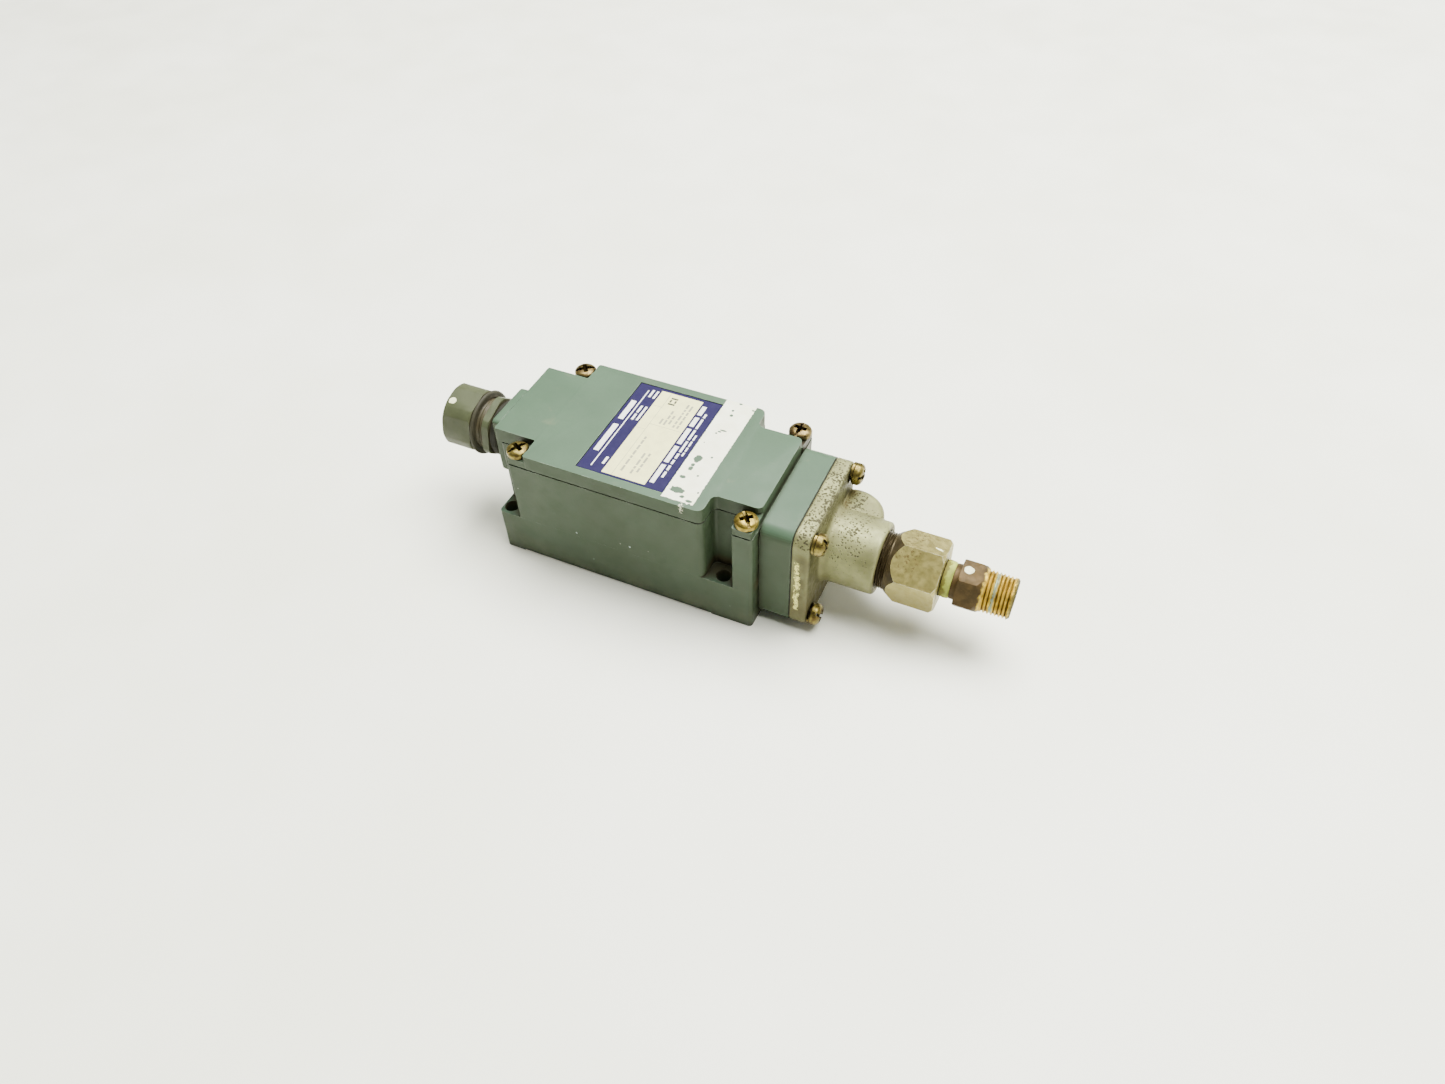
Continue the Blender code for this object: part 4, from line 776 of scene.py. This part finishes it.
def casting_look():
    """Bare die casting: dull grey metal with dark pits, painted shade in its corners, on the front of its
    plate and on its +X end face, darker towards the bottom, and a flaked mark.
    """
    look = Look("bare_casting", rough=0.5, metallic=0.4, specular=0.3)
    base = look.cloud(9, 4, rgb(110, 111, 72), rgb(144, 146, 99))
    base = look.mix(look.patches(0.7, 3, 0.35, 0.7, 0, 0.4), base, rgb(122, 118, 90))
    rim = look.times(look.inside((34.3, None, 39.5), (40.6, None, None), 1.5), 0.40)
    lug_face = look.times(look.inside((40, 8, 30), (48, 20, None), 1.5), 0.34)
    boss_back = look.times(look.inside((41, -12, 25), (55, 9, None), 3.5), 0.32)
    where = look.plus(look.patches(7, 3, 0.35, 0.7, -0.12, 0.10), rim)
    where = look.plus(look.plus(where, lug_face), boss_back)
    pit_size = look.cells(0.85)
    pits = look.ramp(look.math("SUBTRACT", pit_size, look.plus(where, 0.08)), -0.04, 0.06, 1.0, 0.0)
    pits = look.times(pits, look.patches(1.1, 2, 0.38, 0.47))
    base = look.mix(look.times(pits, 0.85), base, rgb(58, 54, 40))
    # painted shade: ambient occlusion darkens the corners towards brown
    crease_shade_and_dirt = look.crease(4.5, 0.5, 0.97)
    base = look.mix(look.times(crease_shade_and_dirt, 0.85), base, rgb(96, 84, 46))
    # painted shade: the front (-Y) part of the plate darker, in patches
    front_shade = look.zone((34, None, None), (41.5, -14, 38), 4.0, 5, 4, 0.3, 0.65, 0.35, 0.9)
    base = look.mix(front_shade, base, rgb(72, 68, 38))
    # painted shade: the plate's +X end face, turned from the light, darker in patches
    end_face_shade = look.times(look.ramp(look.facing("X"), 0.6, 0.9),
                         look.inside((39, None, None), (41, None, None), 0.5))
    base = look.mix(look.times(end_face_shade, look.patches(4, 4, 0.3, 0.65, 0.55, 0.95)), base,
                    rgb(74, 72, 44))
    low = look.zone((None, None, None), (None, None, 20), 8.0, 6, 4, 0.3, 0.65, 0.4, 0.85)
    base = look.mix(low, base, rgb(84, 78, 48))
    ragged = look.plus(look.axis("X"), look.ramp(look.noise(2.2, 5, 0.7), 0.3, 0.7, -0.0007, 0.0007))
    band = look.times(look.ramp(ragged, 35.7 * MM, 35.85 * MM),
                      look.ramp(ragged, 37.1 * MM, 37.25 * MM, 1, 0))
    mark = look.times(look.inside((34, -22, 10.5), (38.5, -21.2, 33.5), 0.3), band)
    mark = look.times(mark, look.ramp(look.noise(1.3, 5, 0.75), 0.44, 0.52))
    base = look.mix(mark, base, rgb(226, 222, 134))
    look.colour(base)
    rough = look.patches(2.2, 4, 0.3, 0.7, 0.42, 0.6)
    look.feed(look.shader, "Roughness", look.plus(rough, look.times(pits, 0.25)))
    look.bump(look.noise(0.8, 4, 0.6), 0.06, 0.5)
    look.bump(look.noise(4.5, 3), 0.15, 0.3)
    look.bump(pits, -0.12, 0.8)
    return look.mat


def make_pressure_head():
    plate = prism(head_outline(), *PLATE_X, "X")
    round_edges(plate, lambda p, q: min(p.x, q.x) > PLATE_X[1] - 0.1, 1.2, 4)
    web = [(PLATE_X[1] + 2.4 * (1 - cos(t)), BOSS_R + 2.4 * (1 - sin(t)))
           for t in (radians(9 * k) for k in range(11))]
    boss = solid_turned([(38, BOSS_R + 2.4)] + web + arc(BOSS_X1 - 1.1, BOSS_R - 1.1, 1.1, 90, 0, 5), 96,
                        PORT)
    lug_profile = [(14, 0), (14, LUG_R)] + [(LUG_TOP_Z - 2 + 2.0 * sin(t), LUG_R - 2 + 2.0 * cos(t))
                                            for t in (radians(18 * k) for k in range(6))] + [(LUG_TOP_Z, 0)]
    lug = combine(turned(lug_profile, 80, LUG_XY, "Z"), *less(block(20, 37.3, -30, 40, 0, 50)))
    solid = cast(combine(plate, *plus(boss, lug)), 0.3, 5)
    bore = [(30, 11), (37.2, 11), (37.2, 3), (46, 3), (46, 9.75), (57.9, 9.75), (59, 10.6), (62, 10.6)]
    solid = combine(solid, *less(solid_turned(bore, 96, PORT),
                                 *[rod(30, 45, 2.2, c, "X", 24) for c in HEAD_SCREWS_YZ]))
    piece("pressure_head_body", solid, casting_look(), "pressure_head")


# ------------------------------------------------------------------ fitting
def hex_envelope(x0, x1, corner, left, right, end_left, end_right):
    """Turned envelope that chamfers a hexagon at both ends."""
    return [(x0, end_left), (x0 + left, corner), (x1 - right, corner), (x1, end_right)]


def metal_look(name, light, dark, stain, rough=0.34, metallic=0.85, stain_amount=0.5, extra=None,
               specular=0.5):
    look = Look(name, rough=rough, metallic=metallic, specular=specular)
    base = look.cloud(5, 4, dark, light)
    blot = look.times(look.ramp(look.noise(3.2, 5, 0.65), 0.5, 0.68), stain_amount)
    base = look.mix(blot, base, stain)
    # painted shade: corners and recesses darkened by ambient occlusion
    base = look.mix(look.times(look.crease(2.2, 0.4, 0.95), 0.75), base, scaled(stain, 0.5))
    if extra:
        base = extra(look, base)
    look.colour(base)
    look.roughness(2.0, 4, rough - 0.08, rough + 0.14)
    look.bump(look.noise(0.5, 3), 0.02, 0.45)
    look.bump(look.noise(3.0, 2), 0.05, 0.3)
    return look.mat


def make_adapter():
    hexed = combine(prism(hexagon(ADAPTER_FLATS, PORT, ADAPTER_TURN), 60, 82, "X"),
                    ("INTERSECT",
                     solid_turned(hex_envelope(*ADAPTER_X, 12.56, 3.9, 1.4, 10.15, 11.3), 180, PORT)))
    thread = threaded(56.5, 61.5, 9.7, 0.6, 0.85, PORT, ([(47, 0), (47, 8.6), (48, 9.2), (56.4, 9.2)],
                                                         [(61.6, 9.7), (63.5, 9.7), (63.5, 0)]))
    bore = solid_turned([(40, 4), (67.8, 4), (67.8, 6.2), (90, 6.2)], 64, PORT)
    hexed = combine(hexed, *plus(thread), *less(bore))

    def stains_shade_and_highlight(look, base):
        specks = look.times(look.inside((63.5, None, 30), (71.5, None, None), 2.0),
                           look.ramp(look.noise(1.1, 5, 0.7), 0.53, 0.62, 0, 0.85))
        base = look.mix(specks, base, rgb(96, 78, 44))
        # painted shade: the adapter's lower side darker, in patches
        underside_shade = look.zone((None, None, None), (None, None, 21), 5.0, 5, 4, 0.3, 0.7, 0.35, 0.8)
        base = look.mix(underside_shade, base, rgb(120, 110, 70))
        # painted highlight: near-white lines along the edges, in patches
        edges = look.times(look.edge(0.35, 0.008, 0.05), look.patches(3, 3, 0.35, 0.6, 0.1, 0.75))
        return look.mix(edges, base, rgb(238, 233, 198))
    nickel = metal_look("nickel_plate", rgb(162, 152, 92), rgb(140, 131, 74), rgb(112, 96, 46), 0.40, 0.65,
                        0.35,
                        extra=stains_shade_and_highlight)
    brown = metal_look("stained_nickel", rgb(74, 64, 40), rgb(52, 44, 28), rgb(66, 54, 30), 0.42, 0.5, 0.3,
                       specular=0.25)
    for face in hexed.faces:
        middle = face.calc_center_median()
        if middle.x < ADAPTER_X[0] + 0.05 or (middle.x < 65.7 and face.normal.x < -0.2):
            face.material_index = 1
    piece("port_adapter_body", hexed, [nickel, brown], "port_adapter", 0.10, 2,
          bevel_where=lambda p: p.x > 61.0)


def splash(centre, normal, across, outline, thick):
    """A thin dab of paint on a flat: outline in mm along across and normal x across."""
    n, a = Vector(normal).normalized(), Vector(across).normalized()
    b = n.cross(a)
    bm = bmesh.new()
    rings = []
    for lift, grow in ((0.005, 1.0), (thick * 0.7, 0.96), (thick, 0.8)):
        rings.append([bm.verts.new(Vector(centre) + n * lift + a * u * grow + b * v * grow) for u,
                      v in outline])
    bm.faces.new(rings[0])
    bm.faces.new(rings[-1])
    for one, two in zip(rings, rings[1:]):
        for i in range(len(outline)):
            j = (i + 1) % len(outline)
            bm.faces.new((one[i], one[j], two[j], two[i]))
    return outward(bm)


def dab(radius, seed, squash=1.0, ragged=0.07, points=36):
    rng = random.Random(seed)
    waves = [(rng.uniform(0, 6.3), rng.uniform(0.3, 1.0)) for _ in range(5)]
    outline = []
    for k in range(points):
        t = 2 * pi * k / points
        r = radius * (1 + ragged * sum(w * sin((i + 2) * t + p) for i, (p, w) in enumerate(waves)) / 2)
        outline.append((r * cos(t), r * sin(t) * squash))
    return outline


def facet(flats, angle_deg, x, sideways, centre=PORT):
    """Point on a flat of a hexagon that runs along X, and the flat's normal."""
    t = radians(angle_deg)
    n = Vector((0, cos(t), sin(t)))
    across = Vector((0, -sin(t), cos(t)))
    return Vector((x, *centre)) + n * flats / 2 + across * sideways, n


def make_nipple():
    hexed = combine(prism(hexagon(NIPPLE_FLATS, PORT, NIPPLE_TURN), 80, 95, "X"),
                    ("INTERSECT", solid_turned(hex_envelope(*NIPPLE_X, 8.8, 0.5, 2.6, 8.0, 7.0), 144, PORT)))
    tail = [(TIP_X, 6.1), (TIP_X, 0)]
    thread = threaded(*THREAD_X, THREAD_R, 0.8, THREAD_PITCH, PORT,
                      ([(69, 0), (69, 5.4), (69.6, 5.9), (78.4, 5.9), (78.7, 5.0), (82.2, 5.0), (82.2, 5.9),
                        (91.0, 6.3)], tail), taper=0.025, step=0.075, steps=112)
    bore = rod(60, 110, NIPPLE_BORE_R, PORT, "X", 48)
    cup = solid_turned([(THREAD_X[1], NIPPLE_BORE_R), (103, 4.4)], 48, PORT)
    hexed = combine(hexed, *plus(thread), *less(bore, cup))

    def two_tone(look, base):
        wob = look.plus(look.axis("X"), look.patches(1.5, 4, 0, 1, -0.0010, 0.0010))
        golden = look.ramp(wob, 91.2 * MM, 92.4 * MM)
        gold = look.cloud(2.5, 4, rgb(172, 142, 50), rgb(236, 206, 90))
        y, z = look.math("SUBTRACT", look.axis("Y"), PORT[0] * MM), look.math("SUBTRACT", look.axis("Z"),
                                                                              PORT[1] * MM)
        away = look.math("SQRT", look.plus(look.times(y, y), look.times(z, z)))
        # painted shade: the thread's grooves darkened by their smaller radius
        root_shade = look.ramp(look.plus(away, look.times(look.math("SUBTRACT", look.axis("X"), THREAD_X[0] * MM),
                                                          0.02)), 6.4 * MM, 6.9 * MM, 1.0, 0.0)
        gold = look.mix(look.times(root_shade, 0.9), gold, rgb(66, 48, 18))
        base = look.mix(golden, base, gold)
        look.feed(look.shader, "Metallic", look.ramp(wob, 91.2 * MM, 92.4 * MM, 0.25, 0.8))
        speck = look.ramp(look.noise(0.35, 2, 0.8), 0.70, 0.76)
        base = look.mix(look.times(speck, 0.4), base, rgb(170, 146, 96))
        slant = look.plus(look.axis("X"), look.times(look.axis("Y"), 0.035))
        slant = look.plus(slant, look.patches(1.4, 4, 0, 1, -0.0004, 0.0004))
        tape = look.times(look.ramp(slant, 95.0 * MM, 95.2 * MM),
                          look.ramp(slant, 95.9 * MM, 96.1 * MM, 1, 0))
        base = look.mix(look.times(tape, 0.9), base, rgb(168, 184, 166))
        tip = look.ramp(wob, 100.6 * MM, 101.6 * MM, 0.0, 0.8)
        return look.mix(tip, base, rgb(72, 68, 42))
    look = metal_look("browned_brass", rgb(80, 64, 38), rgb(60, 48, 28), rgb(96, 76, 42), 0.5, 0.25, 0.3,
                      two_tone, 0.12)
    piece("port_nipple_body", hexed, look, "port_nipple", 0.1, 2,
          bevel_where=lambda p: p.x < 92.5, sharp=40)

    seal = turned([(79.0, 5.15), (79.0, 6.05), (79.5, 6.2), (80.6, 6.2), (81.6, 6.1), (82.05, 5.8),
                   (82.05, 5.15)], 90, PORT,
                  ripple=lambda x, t: 0.09 * sin(5 * t + x) + 0.06 * sin(11 * t + 2.3 * x))
    def soiled(look, shade):
        side = look.plus(look.axis("X"), look.patches(1.6, 4, 0.3, 0.7, -0.0008, 0.0008))
        return look.mix(look.ramp(side, 79.9 * MM, 80.7 * MM, 0.85, 0.0), shade, rgb(104, 96, 48))
    green = print_look("thread_sealant", rgb(150, 158, 72), 0.6, 0.25, 0.6, soiled)
    piece("nipple_sealant", seal, green, "nipple_seal")


def dab_look():
    look = Look("white_paint_dab", rough=0.45, specular=0.5)
    look.colour(look.mix(look.patches(1.0, 4, 0.35, 0.7), rgb(232, 234, 190), rgb(206, 206, 160)))
    look.bump(look.noise(0.7, 3), 0.04, 0.6)
    return look.mat


# ------------------------------------------------------------------ gland
def plastic_look(name, colour, rough=0.45, vary=0.1, crease_shade_and_dirt=rgb(70, 62, 46), extra=None):
    look = Look(name, rough=rough, specular=0.3)
    base = look.cloud(7, 4, scaled(colour, 1 - vary), scaled(colour, 1 + vary))
    base = look.mix(look.patches(0.6, 3, 0.4, 0.75, 0, 0.2), base, scaled(colour, 0.7))
    if extra:
        base = extra(look, base)
    # painted shade: ambient occlusion darkens corners and gaps towards the given brown
    base = look.mix(look.times(look.crease(2.6, 0.4, 0.95), 0.7), base, crease_shade_and_dirt)
    # edges lightened: partly wear, partly a painted highlight
    worn = look.times(look.edge(0.35), look.patches(3, 4, 0.45, 0.62, 0.1, 0.6))
    look.colour(look.mix(worn, base, scaled(colour, 1.5)))
    look.roughness(3, 4, rough - 0.08, rough + 0.12)
    look.bump(look.noise(0.45, 3), 0.025, 0.5)
    return look.mat


def make_gland(rubber, white):
    grey = plastic_look("gland_grey", rgb(66, 71, 48))
    cap_shape = prism(rounded([(*c, 0.9) for c in hexagon(CAP_FLATS, GLAND, CAP_TURN)], 5), -103, -88, "X")
    envelope = [(CAP_X[0], 10.2)] + arc(CAP_X[0] + 0.9, CAP_R - 0.9, 0.9, 180, 90, 6)
    envelope += [(CAP_X[1] - 0.3, CAP_R), (CAP_X[1], CAP_R - 0.3)]
    cap_shape = combine(cap_shape, ("INTERSECT", solid_turned(envelope, 150, GLAND)),
                        *less(solid_turned([(-110, 6.6), (-100.0, 5.6), (-96.9, 5.6), (-96.9, 9.3),
                                            (-80, 9.3)],
                                           72, GLAND)))
    piece("gland_cap_body", cap_shape, grey, "gland_cap", 0.2, 3, body="cap_body")
    spot, n = facet(CAP_FLATS, CAP_TURN + 90, -98.3, 1.8, GLAND)
    piece("gland_dab", splash(spot, n, X_AXIS, dab(1.35, 3), 0.06), white, body="cap_body")

    ringed = turned([(-88.7, 9.3), (-88.7, 11.1), (-88.45, 11.5), (-88.05, 11.6), (-87.65, 11.5),
                     (-87.4, 11.1),
                     (-87.4, 9.3)], 96, GLAND)
    worn = plastic_look("worn_rubber", rgb(50, 48, 35), 0.6, 0.15)
    piece("gland_rubber_body", ringed, worn, "gland_rubber_ring")
    f0, f1 = FLANGE_X
    body = combine(prism(rounded([(*c, 0.6) for c in hexagon(FLANGE_FLATS, GLAND, FLANGE_TURN)], 3), -88, -80,
                         "X"),
                   ("INTERSECT",
                    solid_turned([(f0, 10.6), (f0 + 0.3, FLANGE_R), (f1 - 0.3, FLANGE_R), (f1, 10.6)],
                                 120, GLAND)))
    neck = threaded(-95.0, -84.6, 9.15, 0.55, 1.5, GLAND,
                    ([(-95.4, 0), (-95.4, 8.6)], [(-84.4, 8.6), (-83.5, 8.6),
                                                  (-83.5, 0)]), steps=96)
    stub = threaded(-80.5, -72.6, 7.9, 0.5, 1.5, GLAND,
                    ([(-84.0, 0), (-84.0, 7.9)], [(-71.8, 7.2), (-71.8, 0)]))
    body = combine(body, *plus(neck, stub), *less(rod(-110, -60, CABLE_R, GLAND, "X", 48)))

    def rusty(look, base):
        neck_zone = look.zone((-88, None, None), (-84.4, None, None), 0.2, 1.6, 4, 0.3, 0.6, 0.6, 0.95)
        return look.mix(neck_zone, base, rgb(62, 56, 34))
    piece("gland_body_shape", body, plastic_look("gland_thread_grey", rgb(66, 72, 50), extra=rusty),
          "gland_body", 0.12, 2, bevel_where=lambda p: -84.6 < p.x < -81.7)
    seal = turned([(-81.5, 8.2), (-81.5, 9.5), (-81.1, 9.9), (-79.3, 9.9), (-78.8, 9.5), (-78.8, 8.2)], 90,
                  GLAND)
    piece("gland_seal_body", seal, rubber, "gland_seal")


# ------------------------------------------------------------------ gaskets and hidden parts
def make_gasket(rubber):
    """Thin flat gasket between case and cover, a little inside their outline."""
    outline = notched(-70.5, 21.6, -59.0, HALF_Y - 0.3, TONGUE_Y - 0.3, (0.8, 0.0, 0.8, 1.9, 1.9))
    window = cavity(0.2, 18.6)
    bm = combine(prism(outline, RIM_Z + 0.05, COVER_Z0 - 0.05), *less(prism(window, RIM_Z - 2, COVER_Z0 + 2)))
    piece("cover_gasket_sheet", bm, rubber, "cover_gasket")


def make_spring(steel):
    """Compression spring, left unattached to any body. It leaves room for the lever's turn."""
    bm = bmesh.new()
    per_turn, around = 36, 12
    count, rings = int(SPRING_TURNS * per_turn), []
    for i in range(count + 1):
        turn = i / per_turn
        share = min(max((turn - 0.8) / (SPRING_TURNS - 1.6), 0.0), 1.0)
        angle = 2 * pi * turn
        out = Vector((0, cos(angle), sin(angle)))
        centre = Vector((SPRING_X[0] + (SPRING_X[1] - SPRING_X[0]) * share, *PORT)) + out * SPRING_R
        rings.append([bm.verts.new(centre + (out * cos(a) + X_AXIS * sin(a)) * WIRE_R)
                      for a in (2 * pi * k / around for k in range(around))])
    for one, two in zip(rings, rings[1:]):
        for k in range(around):
            n = (k + 1) % around
            bm.faces.new((one[k], one[n], two[n], two[k]))
    bm.faces.new(rings[0])
    bm.faces.new(rings[-1])
    piece("range_spring_coil", outward(bm), steel, "range_spring", body=None)


def finish_cad_nodes(rubber, zinc, steel):
    """Gives the nodes that keep their CAD shape their final materials."""
    brass = metal_look("brass_parts", rgb(206, 178, 110), rgb(176, 148, 84), rgb(110, 84, 44), 0.32, 0.9, 0.3)
    phenolic = plastic_look("phenolic", rgb(44, 42, 40), 0.4)
    nylon = plastic_look("nylon", rgb(222, 214, 192), 0.5, 0.04)
    sheaths = {"lead_common": rgb(40, 40, 42), "lead_open": rgb(44, 74, 150), "lead_closed": rgb(160, 50, 40)}
    groups = {
        "black_rubber": rubber, "yellow_zinc": zinc, "bright_steel": steel, "brass": brass,
        "black_phenolic": phenolic, "natural_nylon": nylon,
    }
    slots = {s["node"]: s["material_slot"] for s in frame["record"]["subparts"]}
    for name, obj in frame["nodes"].items():
        if obj.hide_render:
            continue
        look = plastic_look(name + "_sheath", sheaths[name], 0.4,
                            0.06) if name in sheaths else groups[slots[name]]
        obj.data.materials.clear()
        obj.data.materials.append(look)


def main():
    stage_and_camera()
    rubber = plastic_look("black_rubber", rgb(28, 28, 20), 0.7, 0.2, rgb(54, 50, 34))
    zinc, white = zinc_look(), dab_look()
    make_case()
    make_cover()
    make_label()
    make_screws(zinc)
    make_stem_block(rubber)
    make_pressure_head()
    make_adapter()
    make_nipple()
    make_gland(rubber, white)
    spot, n = facet(NIPPLE_FLATS, NIPPLE_TURN + 90, 86.3, -0.6)
    piece("nipple_dab", splash(spot, n, X_AXIS, dab(1.55, 8, 0.95), 0.06), white)
    spot, n = facet(ADAPTER_FLATS, ADAPTER_TURN + 30, 75.8, 2.4)
    piece("adapter_dab", splash(spot, n, (1.0, -0.285, 0.094), dab(1.55, 5, 0.3, 0.25), 0.04), white)
    steel = metal_look("steel_parts", rgb(190, 190, 186), rgb(160, 160, 156), rgb(120, 112, 96), 0.32, 0.95,
                       0.2)
    make_gasket(rubber)
    make_spring(steel)
    finish_cad_nodes(rubber, zinc, steel)


main()
